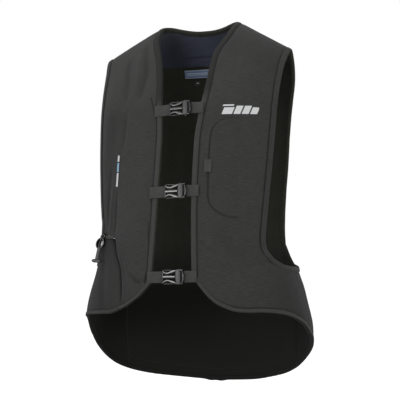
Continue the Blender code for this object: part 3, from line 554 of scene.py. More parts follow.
@dataclass(frozen=True)
class Moulded:
    """Injection-moulded acetal: near black, glossy, with a faint moulded grain.

    Args:
        name: material name.
        tone: body colour.
        roughness: Principled roughness.
    """

    name: str
    tone: Tone
    roughness: float = 0.22

    def build(self) -> bpy.types.Material:
        """Material that reads the object's own coordinates."""
        material, nodes = start_material(self.name)
        place = nodes.add("ShaderNodeTexCoord").outputs["Object"]
        grain = nodes.add("ShaderNodeTexNoise", None, Vector=place, Scale=900.0, Detail=2.0)
        rough = nodes.add("ShaderNodeMapRange", None, Value=grain, i1=0.3, i2=0.7,
                          i3=self.roughness * 0.85, i4=self.roughness * 1.25)
        bump = nodes.add("ShaderNodeBump", None, Strength=0.15, Distance=0.00003, Height=grain)
        shader = nodes.add("ShaderNodeBsdfPrincipled", None, Base_Color=linear(self.tone.value),
                           Roughness=rough, IOR=1.48, Normal=bump)
        nodes.add("ShaderNodeOutputMaterial", None, Surface=shader)
        return material


@dataclass(frozen=True)
class Film:
    """Heat-pressed film: smooth bars on cloth, silver or tinted.

    Args:
        name: material name.
        tone: colour of the film.
        second: colour of the tinted section.
        ground: colour of the cloth that shows between the bars.
        gloss: how much smoother the film is than the cloth.
        cloth_roughness: Principled roughness of the cloth between the bars.
    """

    name: str
    tone: Tone
    second: Tone
    ground: Tone = Tone.SHELL
    gloss: float = 0.42
    cloth_roughness: float = 0.85

    def build(self) -> bpy.types.Material:
        """Material that reads the attribute pair "mark", where 1 is film and 0 is cloth."""
        material, nodes = start_material(self.name)
        mark = nodes.add("ShaderNodeAttribute", {"attribute_name": "mark"}).outputs[2]
        tint = nodes.add("ShaderNodeAttribute", {"attribute_name": "tint"}).outputs[2]
        film = nodes.add("ShaderNodeMix", {"data_type": "RGBA"}, i0=tint,
                         i6=linear(self.tone.value), i7=linear(self.second.value)).outputs[2]
        colour = nodes.add("ShaderNodeMix", {"data_type": "RGBA"}, i0=mark,
                           i6=linear(self.ground.value), i7=film).outputs[2]
        rough = nodes.add("ShaderNodeMath", {"operation": "MULTIPLY_ADD"}, i0=mark, i1=-self.gloss,
                          i2=self.cloth_roughness)
        shader = nodes.add("ShaderNodeBsdfPrincipled", None, Base_Color=colour, Roughness=rough,
                           IOR=1.5)
        nodes.add("ShaderNodeOutputMaterial", None, Surface=shader)
        return material


class Cloths:
    """All finishes of the vest, each built once."""

    def __init__(self) -> None:
        """Build the materials."""
        # High-tenacity polyester in charcoal, piece-dyed, which gives the matt grey body.
        self.shell = Woven("charcoal melange polyester weave", Tone.SHELL, Tone.SHELL_LIGHT).build()
        # The same yarn cut on the grain and folded for the edges, coloured a little lighter as
        # painted sheen where the rounded fold catches the light.
        self.band = Woven("charcoal folded edge binding", Tone.BAND, Tone.BAND_LIGHT, pitch=0.0009,
                          streak=0.006).build()
        # Knitted polyester lining, which stays almost black inside, with painted shade that darkens
        # it toward the tail.
        self.lining = Woven("black warp-knit lining", Tone.LINING, Tone.LINING_LIGHT, pitch=0.0014,
                            streak=0.004, sheen=0.05, depth=0.0003, fade=0.83).build()
        # Brushed collar lining in dark navy behind the neck.
        self.navy = Woven("navy brushed collar lining", Tone.NAVY, Tone.NAVY_LIGHT, pitch=0.0012,
                          streak=0.005, sheen=0.2).build()
        # Ribbed polyester webbing of the closures.
        self.webbing = Woven("charcoal ribbed webbing", Tone.WEBBING, Tone.WEBBING_LIGHT,
                             pitch=0.0016, streak=0.02, roughness=0.7, depth=0.0004).build()
        # Glossy acetal of the side-release buckles and the trigger fitting.
        self.plastic = Moulded("black glossy acetal", Tone.PLASTIC).build()
        # Spark-textured acetal of the buckle's collar, which scatters light to a mid grey.
        self.grained = Moulded("spark-textured acetal", Tone.GRAINED, 0.5).build()
        # Damask-woven labels with plain lines.
        self.tab = Film("black satin size tab", Tone.LABEL_EDGE, Tone.LABEL_EDGE, Tone.LINING_LIGHT,
                        0.2).build()
        self.label = Film("blue-grey damask label", Tone.LABEL_EDGE, Tone.LABEL_EDGE,
                          Tone.LABEL, 0.1).build()
        # Silver reflective film pressed on cloth.
        self.film = Film("silver reflective film", Tone.SILVER, Tone.SKY).build()
        # Spun polyester sewing thread.
        self.thread = Moulded("charcoal sewing thread", Tone.THREAD, 0.7).build()


def catmull(values: Array, count: int, axis: int) -> Array:
    """Resample an array along an axis with a smooth curve through every row.

    Args:
        values: coarse array.
        count: samples along the axis in the result.
        axis: axis that is resampled.

    Returns:
        The denser array.
    """
    data = np.moveaxis(np.asarray(values, float), axis, 0)
    size = data.shape[0]
    first = 2 * data[0] - data[1]
    last = 2 * data[-1] - data[-2]
    data = np.concatenate([first[None], data, last[None]])
    t = np.linspace(0, size - 1, count)
    i = np.minimum(t.astype(int), size - 2)
    f = (t - i).reshape((-1,) + (1,) * (data.ndim - 1))
    a, b, c, d = data[i], data[i + 1], data[i + 2], data[i + 3]
    out = 0.5 * (2 * b + (c - a) * f + (2 * a - 5 * b + 4 * c - d) * f ** 2
                 + (3 * b - a - 3 * c + d) * f ** 3)
    return np.moveaxis(out, 0, axis)


def lengths(points: Array, axis: int) -> Array:
    """Length along a grid's lines from their start, for every point."""
    steps = np.linalg.norm(np.diff(points, axis=axis), axis=-1)
    shape = list(steps.shape)
    shape[axis] = 1
    return np.concatenate([np.zeros(shape), np.cumsum(steps, axis=axis)], axis=axis)


def near_line(x: Array, z: Array, line: Sequence[tuple[float, float]]) -> tuple[Array, Array]:
    """Distance from points to a polyline and the share along it of the nearest place."""
    best = np.full(np.shape(x), 9.0)
    share = np.zeros(np.shape(x))
    sizes = [math.dist(a, b) for a, b in zip(line, line[1:])]
    total, run = sum(sizes), 0.0
    for (ax, az), (bx, bz), size in zip(line, line[1:], sizes):
        dx, dz = bx - ax, bz - az
        t = np.clip(((x - ax) * dx + (z - az) * dz) / (size * size), 0, 1)
        gap = np.hypot(x - ax - t * dx, z - az - t * dz)
        closer = gap < best
        best = np.where(closer, gap, best)
        share = np.where(closer, (run + t * size) / total, share)
        run += size
    return best, share


def link_object(name: str, data: bpy.types.ID) -> bpy.types.Object:
    """New object of a mesh, lamp or camera, linked to the scene."""
    part = bpy.data.objects.new(name, data)
    bpy.context.scene.collection.objects.link(part)
    return part


def make_object(name: str, points: Array, faces: Array, materials: Sequence[bpy.types.Material],
                slots: Array | None = None, uv: Array | None = None,
                attributes: dict[str, Array] | None = None) -> bpy.types.Object:
    """New mesh object with outward faces.

    Args:
        name: name of the piece.
        points: corner places, one row each.
        faces: corner numbers, four in a row.
        materials: materials in slot order.
        slots: slot number of each face.
        uv: two metres of cloth for each corner.
        attributes: float values for each corner, by name.

    Returns:
        The object, linked to the scene.
    """
    points = np.asarray(points, float).reshape(-1, 3)
    faces = np.asarray(faces, int)
    a, b, c, d = (points[faces[:, k]] for k in range(4))
    volume = (np.cross(a, b) * c).sum() + (np.cross(a, c) * d).sum()
    if volume < 0:
        faces = faces[:, ::-1]
    mesh = bpy.data.meshes.new(name)
    rows = [tuple(dict.fromkeys(row)) for row in faces.tolist()]
    mesh.from_pydata(points.tolist(), [], rows)
    mesh.shade_smooth()
    for material in materials:
        mesh.materials.append(material)
    if slots is not None:
        mesh.polygons.foreach_set("material_index", np.asarray(slots, np.int32))
    if uv is not None:
        layer = mesh.uv_layers.new(name="cloth")
        loops = np.zeros(len(mesh.loops), np.int32)
        mesh.loops.foreach_get("vertex_index", loops)
        layer.data.foreach_set("uv", np.asarray(uv, float).reshape(-1, 2)[loops].ravel())
    for key, values in (attributes or {}).items():
        made = mesh.attributes.new(key, "FLOAT", "POINT")
        made.data.foreach_set("value", np.asarray(values, np.float32).ravel())
    mesh.validate()
    return link_object(name, mesh)


def grid_faces(rows: int, cols: int, start: int = 0) -> Array:
    """Corner numbers of a grid's quads."""
    i, j = np.meshgrid(np.arange(rows - 1), np.arange(cols - 1), indexing="ij")
    a = start + (i * cols + j).ravel()
    return np.stack([a, a + 1, a + cols + 1, a + cols], axis=1)


def tube_faces(rows: int, cols: int) -> Array:
    """Corner numbers of a tube's quads, ring after ring."""
    i, j = np.meshgrid(np.arange(rows - 1), np.arange(cols), indexing="ij")
    a, b = (i * cols + j).ravel(), (i * cols + (j + 1) % cols).ravel()
    return np.stack([a, b, b + cols, a + cols], axis=1)


def closed_shell(name: str, outer: Array, inner: Array, materials: Sequence[bpy.types.Material],
                 uv: Array, attributes: dict[str, Array] | None = None) -> bpy.types.Object:
    """Closed cloth body between two grids, with the second material on its inner face.

    Args:
        name: name of the piece.
        outer: grid of outer points.
        inner: grid of inner points of the same size.
        materials: outer and inner material, or one for both.
        uv: cloth metres over the grid.
        attributes: float values over the grid, by name.

    Returns:
        The object.
    """
    rows, cols = outer.shape[:2]
    half = rows * cols
    front = grid_faces(rows, cols)
    behind = grid_faces(rows, cols, half)[:, ::-1]
    rim = [j for j in range(cols)] + [i * cols + cols - 1 for i in range(1, rows)]
    rim += [(rows - 1) * cols + j for j in range(cols - 2, -1, -1)]
    rim += [i * cols for i in range(rows - 2, 0, -1)]
    edge = np.array([(b, a, half + a, half + b) for a, b in zip(rim, rim[1:] + rim[:1])])
    faces = np.concatenate([front, behind, edge])
    slots = np.zeros(len(faces), int)
    if len(materials) > 1:
        slots[len(front):len(front) + len(behind)] = 1
    points = np.concatenate([outer.reshape(-1, 3), inner.reshape(-1, 3)])
    doubled = np.concatenate([uv.reshape(-1, 2)] * 2)
    values = {k: np.concatenate([v.ravel()] * 2) for k, v in (attributes or {}).items()}
    return make_object(name, points, faces, materials, slots, doubled, values)


def look_up(rows: Sequence[tuple[float, float]], key: Array | float) -> Array:
    """Straight-line value of a two-column table at a key."""
    pairs = sorted(rows)
    return np.interp(key, [p[0] for p in pairs], [p[1] for p in pairs])


HEM_TABLES = {side: SmoothTable(HEM_ROWS[side], 4.0) for side in Side}


class Outline:
    """Edges of the vest in surface coordinates, read from the shared tables."""

    @staticmethod
    def hem(angle: Array | float, side: Side) -> Array:
        """Height of the hem; angles past the back's middle read the wearer's right."""
        turned = np.mod(np.asarray(angle, float), 360.0)
        key = np.minimum(turned, 360.0 - turned)
        tail = smoothstep(89.0, 100.0, key)

        def read(table: SmoothTable) -> Array:
            """Height in a table, straight between its rows in front and smooth behind."""
            return look_up(table.rows, key) * (1 - tail) + table(key) * tail

        own = read(HEM_TABLES[side])
        return DROP * np.where(turned > 180.0, read(HEM_TABLES[Side.RIGHT]), own)

    @staticmethod
    def front_edge(side: Side, z: Array | float) -> Array:
        """Angle of the front edge at a height."""
        key = np.asarray(z, float) / DROP
        return FORM.angle(look_up(EDGE_ROWS[side], key) / FORM.width(key))

    @staticmethod
    def arm_front(side: Side, z: Array | float) -> Array:
        """Angle of the armhole's front edge at a height."""
        return FORM.angle(look_up(ARM_FRONT_ROWS[side], np.asarray(z, float) / DROP))

    @staticmethod
    def arm_back(z: Array | float) -> Array:
        """Angle of the back panel's side edge at a height."""
        key = np.asarray(z, float) / DROP
        free = FORM.angle(look_up(ARM_BACK_ROWS, key), back=True)
        return np.where(key < -0.585, BACK_SEAM_ANGLE, free)

    @staticmethod
    def arm_floor(angle: Array | float) -> Array:
        """Height of the armhole's floor at an angle."""
        return DROP * look_up(ARM_FLOOR_ROWS, angle)

    @staticmethod
    def slit_width(z: Array | float) -> Array:
        """Width of the side slit in degrees at a height, where it lies shut near the hem."""
        gap = SLIT_GAP * (0.15 + 0.85 * smoothstep(SLIT_SHUT, SLIT_OPEN, np.asarray(z, float)))
        return np.degrees(gap / (HALF_WIDTH * FORM.width(np.asarray(z) / DROP))) * 1.15

    @classmethod
    def outer(cls, side: Side, z: Array) -> Array:
        """Angle of a front panel's outer edge at its grid heights."""
        key = z / DROP
        arm = cls.arm_front(side, z)
        if side is Side.LEFT:
            rows = [(h, a) for a, h in ARM_FLOOR_ROWS if a < SIDE_SEAM_ANGLE]
            rows += [(-0.6435, SIDE_SEAM_ANGLE), (-1.0, SIDE_SEAM_ANGLE)]
            return np.where(key < -0.586, look_up(rows, key), arm)
        return np.where(key < -0.54, look_up(SLIT_ROWS, key), arm)

    @classmethod
    def front(cls, side: Side, columns: int = 9) -> tuple[Array, Array]:
        """Coarse grid of a front panel, rows from the shoulder to the hem."""
        levels = np.array(LEVELS[side])
        far = cls.outer(side, levels * DROP)
        depth = FORM.top(FORM.share(far)) - levels * DROP
        depth[0] = 0.0
        low = cls.front_edge(side, CORNERS[side])
        u = np.linspace(0, 1, columns + 1)
        bottom = low + (far[-1] - low) * u
        hem = FORM.top(FORM.share(bottom)) - cls.hem(bottom, side)
        start = FORM.top(FORM.share(cls.front_edge(side, NECK_HEIGHT)))
        near_depth = np.maximum(0.0, start - DROP * look_up(INNER_ROWS[side], levels))
        near_depth[-1] = hem[0]
        near = np.full(len(levels), float(low))
        for _ in range(14):
            near = 0.5 * (near + cls.front_edge(side, FORM.top(FORM.share(near)) - near_depth))
        angle = near[:, None] + (far - near)[:, None] * u
        straight = hem[0] + (hem[-1] - hem[0]) * u
        curve = np.maximum(0.0, (depth / depth[-1] - 0.72) / 0.28) ** 1.5
        down = near_depth[:, None] + (depth - near_depth)[:, None] * u
        down = np.maximum(0.0, down + curve[:, None] * (hem - straight))
        q = FORM.down(angle, FORM.top(FORM.share(angle)) - down)
        return side.value * angle, q

    @classmethod
    def back(cls, levels: Array, columns: int = 18) -> tuple[Array, Array]:
        """Coarse grid of the back, rows from the neck line to the tail's hem."""
        level = np.asarray(levels, float)[:, None]
        edges = {}
        for side in Side:
            edge = np.full_like(level, BACK_SEAM_ANGLE)
            for _ in range(12):
                tip = FORM.down(edge, cls.hem(edge, side))
                edge = 0.5 * (edge + cls.arm_back(FORM.point(edge, tip * level)[..., 2]))
            edges[side] = edge
        lateral = np.linspace(-1, 1, columns + 1)[None, :]
        edge = np.where(lateral > 0, edges[Side.LEFT], edges[Side.RIGHT])
        angle = 180.0 - (180.0 - edge) * lateral
        share = FORM.share(angle)
        start = NECK_DIP * (1 - (1 - np.maximum(0.0, 1 - share / NECK_SHARE)) ** 2)
        hem = FORM.down(angle, cls.hem(angle, Side.LEFT))
        return angle, start + (hem - start) * level

    @classmethod
    def side(cls, side: Side, rows: int = 10) -> tuple[Array, Array]:
        """Coarse grid of a side panel, rows from the armhole to the hem."""
        if side is Side.LEFT:
            tops = np.array((88.03, 93.0, 98.0, 104.0, 110.0, 115.6, 120.0, 124.5, 127.15))
        else:
            tops = np.array((40.5, 45.0, 50.5, 54.6, 56.6, 61.5, 69.6, 79.0, 88.0, 97.0, 106.0,
                             115.6, 122.0, 127.15))

        def top_height(angle: Array) -> Array:
            """Height of the panel's top edge."""
            high = [(a, h) for h, a in SLIT_ROWS if h > -0.58]
            slit = DROP * look_up(high, angle) - SLIT_GAP
            before = (side is Side.RIGHT) & (angle < SLIT_TOP_END)
            return np.where(before, slit, cls.arm_floor(angle))

        def start_angle(down: Array | float) -> Array:
            """Angle of the panel's front edge at a share of its height."""
            if side is Side.LEFT:
                return np.full(np.shape(down), tops[0])
            high = float(top_height(tops[0]))
            z = high + (float(cls.hem(28.0, side)) - high) * np.asarray(down, float)
            return look_up(SLIT_ROWS, z / DROP) + cls.slit_width(z)

        down = np.linspace(0, 1, rows + 1)[:, None]
        last = tops[-1]
        first = float(start_angle(0.0))
        heads = np.concatenate([[first], tops[1:]])
        shares = np.maximum(0.0, heads - first) / (last - first)
        angle = start_angle(down) + (last - start_angle(down)) * shares
        end = float(start_angle(1.0))
        high = top_height(heads)
        low = cls.hem(end + (last - end) * shares, side)
        z = high + (low - high) * down
        return side.value * angle, FORM.down(angle, z)


@dataclass(frozen=True)
class Fold:
    """A soft ridge, valley or slit along a line on a panel, with painted shade along it; with no
    depth it is painted shade alone.

    Args:
        line: places in X and Z, in metres.
        depth: height of the ridge, negative for a valley, in metres.
        width: spread to each side in metres.
        shade: painted shade along it, from 0 to 1.
        taper: true when it fades out at its ends.
    """

    line: tuple[tuple[float, float], ...]
    depth: float
    width: float
    shade: float = 0.0
    taper: bool = True

    def apply(self, x: Array, z: Array, height: Array, crease: Array) -> None:
        """Add the fold to a relief.

        Args:
            x: places across.
            z: heights of the places.
            height: relief that the fold is added to.
            crease: shade that is deepened along it.
        """
        gap, share = near_line(x, z, self.line)
        weight = np.exp(-(gap / self.width) ** 2)
        if self.taper:
            weight = weight * np.sqrt(np.clip(4 * share * (1 - share), 0, 1))
        height += self.depth * weight
        np.maximum(crease, self.shade * weight, out=crease)


def soft_waves(x: Array, z: Array, seed: int, size: float) -> Array:
    """Low, slow swells of padded cloth, the same for the same seed."""
    rng = np.random.default_rng(seed)
    total = np.zeros(np.shape(x))
    for _ in range(9):
        turn = rng.uniform(0, math.tau)
        wave = rng.uniform(0.5, 1.6) * size
        phase = rng.uniform(0, math.tau)
        total += np.sin((x * math.cos(turn) * 1.6 + z * math.sin(turn)) * math.tau / wave + phase)
    return total / 3.0


# Relief of a padded panel in metres: how far the crown and the rim ease in from an edge, the
# groove beside a binding, the rolled edge of an open slit, the spread of the painted shade in
# both, and the length of the slow swells.
CROWN_SPREAD = 0.016
RIM_SPREAD = 0.01
GROOVE_DEPTH = 0.0009
GROOVE_WIDTH = 0.0018
GROOVE_SHADE = 0.0019
ROLL_DEPTH = 0.0016
ROLL_WIDTH = 0.003
ROLL_SHADE = 0.0027
SWELL_LENGTH = 0.16


@dataclass
class Panel:
    """A padded cloth panel over the body form.

    Args:
        name: name of the piece, the same as its CAD node.
        grid: coarse surface coordinates.
        size: rows and columns of the fine grid.
        folds: soft folds and slits, and their painted shade.
        puff: height of the padding's crown in metres.
        swell: height of the slow swells in metres.
        seed: seed of the swells.
        band: width kept flat along bound edges.
        bound: which of top, bottom, first and last columns carry a binding.
        lift: outer lift and thickness in metres.
        free_last: height under which the last column has no binding.
        free_first: true when the first column is an open slit edge.
        free_top: angle before which the top row has no binding.
        taper: true when the cloth thins out to its edges.
        groove: how dark the painted shade in the seam beside a binding gets.
        narrow: how much closer to the hem its seam runs, in metres.
    """

    name: str
    grid: tuple[Array, Array]
    size: tuple[int, int]
    folds: tuple[Fold, ...] = ()
    puff: float = 0.002
    swell: float = 0.001
    seed: int = 1
    band: float = 0.0102
    bound: tuple[bool, bool, bool, bool] = (False, True, True, True)
    lift: tuple[float, float] = (0.0, PANEL_THICK)
    free_last: float = -9.0
    free_first: bool = False
    free_top: float = 0.0
    taper: bool = False
    groove: float = 0.6
    narrow: float = 0.004
    angle: Array = field(default=None, init=False, repr=False)
    q: Array = field(default=None, init=False, repr=False)
    height: Array = field(default=None, init=False, repr=False)
    thin: Array | float = field(default=1.0, init=False, repr=False)

    def edge_gap(self, base: Array) -> tuple[Array, Array, Array]:
        """Distance to the nearest bound edge, to any edge, and to the nearest slit edge."""
        down = lengths(base, 0)
        across = lengths(base, 1)
        gaps = (down, down[-1:] - down, across, across[:, -1:] - across)
        open_top = 1 - smoothstep(self.free_top - 0.5, self.free_top + 0.5, np.abs(self.angle[:1]))
        open_last = 1 - smoothstep(self.free_last - 0.004, self.free_last, base[:, -1:, 2])
        extra = (0.08 * open_top, self.narrow, 0.0, 0.08 * open_last)
        bound = np.full(base.shape[:2], 9.0)
        free = np.full(base.shape[:2], 9.0)
        for gap, is_bound, more in zip(gaps, self.bound, extra):
            free = np.minimum(free, gap)
            if is_bound:
                bound = np.minimum(bound, gap + more)
        slit = np.minimum(gaps[3] + 0.08 * (1 - open_last), gaps[0] + 0.08 * (1 - open_top))
        if self.free_first:
            slit = np.minimum(slit, across)
        return bound, free, slit

    def shape(self) -> tuple[Array, Array, Array, Array]:
        """Fine base points, outward directions, relief height and seam shade."""
        rows, cols = self.size
        self.angle, self.q = FORM.refine(*FORM.refine(*self.grid, rows, 0), cols, 1)
        base = FORM.point(self.angle, self.q)
        out, _, _ = FORM.frame(self.angle, self.q)
        bound, free, slit = self.edge_gap(base)
        inner = np.maximum(0.0, bound - self.band)
        height = self.puff * (1 - np.exp(-inner / CROWN_SPREAD)) * (1 - np.exp(-free / RIM_SPREAD))
        # Painted shade fills the groove beside a binding.
        crease = self.groove * np.exp(-((bound - self.band - 0.0004) / GROOVE_SHADE) ** 2)
        height -= GROOVE_DEPTH * np.exp(-((bound - self.band) / GROOVE_WIDTH) ** 2)
        # Slit edges roll in and fall into shade.
        gaping = smoothstep(SLIT_SHUT + 0.003, SLIT_OPEN, base[..., 2])
        crease = np.maximum(crease, gaping * np.exp(-(slit / ROLL_SHADE) ** 2))
        height -= ROLL_DEPTH * gaping * np.exp(-(slit / ROLL_WIDTH) ** 2)
        mask = smoothstep(0.0, 0.03, inner) * smoothstep(0.0, 0.02, free)
        x, z = base[..., 0], base[..., 2]
        height += mask * self.swell * soft_waves(x, z, self.seed, SWELL_LENGTH)
        for fold in self.folds:
            bump = np.zeros_like(height)
            fold.apply(x, z, bump, crease)
            height += bump * smoothstep(-0.002, 0.006, bound - self.band)
        self.height = height
        if self.taper:
            self.thin = 0.12 + 0.88 * smoothstep(0.0, 0.012, free)
        return base, out, height, crease

    def uv(self) -> Array:
        """Cloth metres over the fine grid, level with the ground on the body's wall."""
        turns = np.linspace(-260, 260, 1041)
        ring = FORM.point(turns, np.full_like(turns, 0.45))
        run = np.concatenate([[0.0], np.cumsum(np.linalg.norm(np.diff(ring, axis=0), axis=1))])
        run -= np.interp(0.0, turns, run)
        share = FORM.share(self.angle)
        height, power = FORM.roll(share, FORM.behind(self.angle))
        down = self.q - height * (power - 1) - FORM.top(share)
        return np.stack([np.interp(self.angle, turns, run), down], axis=-1)

    def build(self, outside: bpy.types.Material, inside: bpy.types.Material) -> bpy.types.Object:
        """Closed body of the panel with its relief."""
        base, out, height, crease = self.shape()
        top, thick = self.lift
        outer = base + out * (height + top)[..., None]
        under = height if self.taper else 0.45 * np.minimum(height, 0.0)
        inner = base + out * (under + top - thick * self.thin)[..., None]
        return closed_shell(self.name, outer, inner, (outside, inside), self.uv(),
                            {"crease": np.clip(crease, 0, 1)})

    def lift_at(self, x: Array, z: Array) -> Array:
        """Relief height of the panel at places on the front."""
        base = FORM.point(self.angle, self.q)
        flat = np.stack([base[..., 0].ravel(), base[..., 2].ravel()], axis=1)
        heights = self.height.ravel()
        result = np.zeros(np.shape(x))
        for i in np.ndindex(np.shape(x)):
            gap = np.hypot(flat[:, 0] - x[i], flat[:, 1] - z[i])
            near = np.argpartition(gap, 6)[:6]
            weight = 1 / (gap[near] + 1e-5)
            result[i] = (heights[near] * weight).sum() / weight.sum()
        return result


@dataclass
class EdgeBinding:
    """A folded strip of cloth over a panel's edge, with legs on both faces.

    Args:
        name: name of the piece, the same as its CAD node.
        path: surface coordinates of the edge.
        toward: side of the path on which the panel lies.
        width: outer leg in metres.
        inner: inner leg in metres.
        thick: thickness of the folded cloth in metres.
        step: spacing of the sections in metres.
        dim: height over which the outer leg falls into shade, and how dark it gets.
        narrow: height under which the outer leg narrows, and the share of its width it keeps.
    """

    name: str
    path: tuple[Array, Array]
    toward: int
    width: float = 0.01
    inner: float = 0.0075
    thick: float = 0.0011
    step: float = 0.0035
    dim: tuple[float, float] = (9.0, 0.0)
    narrow: tuple[float, float] = (-9.0, 1.0)

    def fine(self) -> tuple[Array, Array]:
        """Edge sampled at even steps with a smooth curve."""
        angle, q = FORM.refine(*self.path, len(self.path[0]) * 6, 0)
        points = FORM.point(angle, q)
        run = lengths(points, 0)
        marks = np.linspace(0, run[-1], max(4, int(run[-1] / self.step)))
        turned = np.interp(marks, run, angle)
        level = FORM.down(turned, np.interp(marks, run, points[:, 2]))
        return turned, np.where(level > 0.03, level, np.interp(marks, run, q))

    def section(self) -> list[tuple[float, float]]:
        """Closed outline of the fold: distance in from the edge and lift over the surface."""
        w, v, t, p = self.width, self.inner, self.thick, PANEL_THICK
        return [
            (w, 0.0), (w, 0.55 * t), (w - 0.0005, t), (0.6 * w, 1.15 * t), (0.3 * w, 1.15 * t),
            (0.0012, t), (0.0002, 0.5 * t), (-0.0007, -0.001), (-0.001, -0.5 * p),
            (-0.0007, 0.001 - p), (0.0002, -p - 0.5 * t), (0.0012, -p - t), (0.5 * v, -p - 1.1 * t),
            (v - 0.0005, -p - t), (v, -p - 0.5 * t), (v, -p), (0.0006, -p), (0.0003, -0.5 * p),
            (0.0006, 0.0),
        ]

    def rings(self, outline: Sequence[tuple[float, float]]) -> tuple[Array, Array]:
        """Points of the fold for each place along the edge, and the edge itself."""
        angle, q = self.fine()
        edge = FORM.point(angle, q)
        along = np.gradient(edge, axis=0)
        along /= np.linalg.norm(along, axis=1, keepdims=True)
        out, _, _ = FORM.frame(angle, q)
        side = np.cross(out, along) * self.toward
        side /= np.linalg.norm(side, axis=1, keepdims=True)
        height, keep = self.narrow
        share = keep + (1 - keep) * smoothstep(height - 0.012, height + 0.012, edge[:, 2])
        found = []
        for inward, lift in outline:
            a, b = FORM.inset(angle, q, side, inward * share if inward > 0.002 else inward)
            normal, _, _ = FORM.frame(a, b)
            found.append(FORM.point(a, b) + normal * lift)
        return np.stack(found, axis=1), edge

    def seam(self) -> Array:
        """Line of stitches along the outer leg's inner edge."""
        points, _ = self.rings([(self.width - 0.0016, 1.05 * self.thick)])
        return points[2:-2, 0]

    def cut(self) -> tuple[float, float]:
        """Length of the edge and width of the strip before it is folded."""
        _, edge = self.rings([(0.0, 0.0)])
        width = self.width + self.inner + PANEL_THICK + 2 * self.thick
        return float(lengths(edge, 0)[-1]), width

    def build(self, material: bpy.types.Material, inside: bpy.types.Material | None = None
              ) -> bpy.types.Object:
        """Closed body of the binding, its inner leg in a second cloth where one is given."""
        outline = self.section()
        rings, edge = self.rings(outline)
        rows, cols = rings.shape[:2]
        wall = tube_faces(rows, cols)
        faces = np.concatenate([wall, self.cap(0)[:, ::-1], self.cap((rows - 1) * cols)])
        slots = np.zeros(len(faces), int)
        if inside:
            column = np.arange(len(wall)) % cols
            slots[:len(wall)] = (column >= 6) & (column <= 15)
        run = lengths(edge, 0)
        around = np.cumsum([0] + [math.dist(p, r) for p, r in zip(outline, outline[1:])])
        uv = np.stack(np.meshgrid(run, around, indexing="ij"), axis=-1)
        # Painted shade over the outer leg above its dim height, and along the leg's inner edge
        # where it meets the panel.
        crease = np.zeros((rows, cols))
        start, dark = self.dim
        crease[:, 2:8] = dark * smoothstep(start - 0.015, start + 0.015, edge[:, 2])[:, None]
        crease[:, :2] = 0.7
        return make_object(self.name, rings, faces, (material, inside or material), slots, uv,
                           {"crease": crease})

    @staticmethod
    def cap(start: int) -> Array:
        """Faces that close one end of the fold, in the order of its outline."""
        fan = [(18, k, k + 1) for k in range(7)] + [(17, 18, 7), (17, 7, 8), (17, 8, 9)]
        fan += [(16, 17, 9)] + [(16, k, k + 1) for k in range(9, 15)]
        return np.array([(start + a, start + b, start + c, start + c) for a, b, c in fan])


def oblong(left: float, right: float, top: float, low: float) -> tuple[tuple[float, float], ...]:
    """Corners of an upright rectangle, in the order that a patch takes them."""
    return (left, top), (right, top), (right, low), (left, low)


@dataclass
class Patch:
    """A thin piece of cloth or film lying on a panel.

    Args:
        name: name of the piece, the same as its CAD node.
        corners: top left, top right, low right and low left, in X and Z.
        size: rows and columns.
        lift: distance over the panel and thickness, in metres.
        host: panel whose relief the patch follows.
        sink: how far its last column sinks into the panel, in metres.
        inside: true when it hangs on the inner side of the back.
    """

    name: str
    corners: tuple[tuple[float, float], ...]
    size: tuple[int, int]
    lift: tuple[float, float]
    host: Panel | None = None
    sink: float = 0.0
    inside: bool = False

    def places(self) -> tuple[Array, Array, Array, Array]:
        """X and Z over the patch with its shares down and across."""
        rows, cols = self.size
        v, u = np.meshgrid(np.linspace(0, 1, rows), np.linspace(0, 1, cols), indexing="ij")
        a, b, c, d = (np.array(p) for p in self.corners)
        flat = ((a * (1 - u[..., None]) + b * u[..., None]) * (1 - v[..., None])
                + (d * (1 - u[..., None]) + c * u[..., None]) * v[..., None])
        return flat[..., 0], flat[..., 1], v, u

    def body(self, x: Array, z: Array, u: Array, v: Array, materials: Sequence[bpy.types.Material],
             attributes: dict[str, Array]) -> bpy.types.Object:
        """Closed body over the places given.

        Args:
            x: places across the vest.
            z: heights.
            u: shares across the patch.
            v: shares down the patch.
            materials: outer and inner material, or one for both.
            attributes: float values over the places, by name.

        Returns:
            The object.
        """
        angle, q = FORM.place(x, z)
        if self.inside:
            angle = np.where(x >= 0, 180.0 - angle, -180.0 - angle)
            q = FORM.down(angle, z)
        base = FORM.point(angle, q)
        out, _, _ = FORM.frame(angle, q)
        rise = self.host.lift_at(x, z) if self.host else np.zeros_like(x)
        low, thick = self.lift
        rise = rise + low - self.sink * smoothstep(0.45, 1.0, u)
        uv = np.stack([lengths(base, 1), lengths(base, 0)], axis=-1)
        return closed_shell(self.name, base + out * (rise + thick)[..., None],
                            base + out * rise[..., None], materials, uv, attributes)

    def build(self, *materials: bpy.types.Material) -> bpy.types.Object:
        """Plain patch of one cloth."""
        x, z, v, u = self.places()
        return self.body(x, z, u, v, materials, {"crease": np.zeros_like(u)})


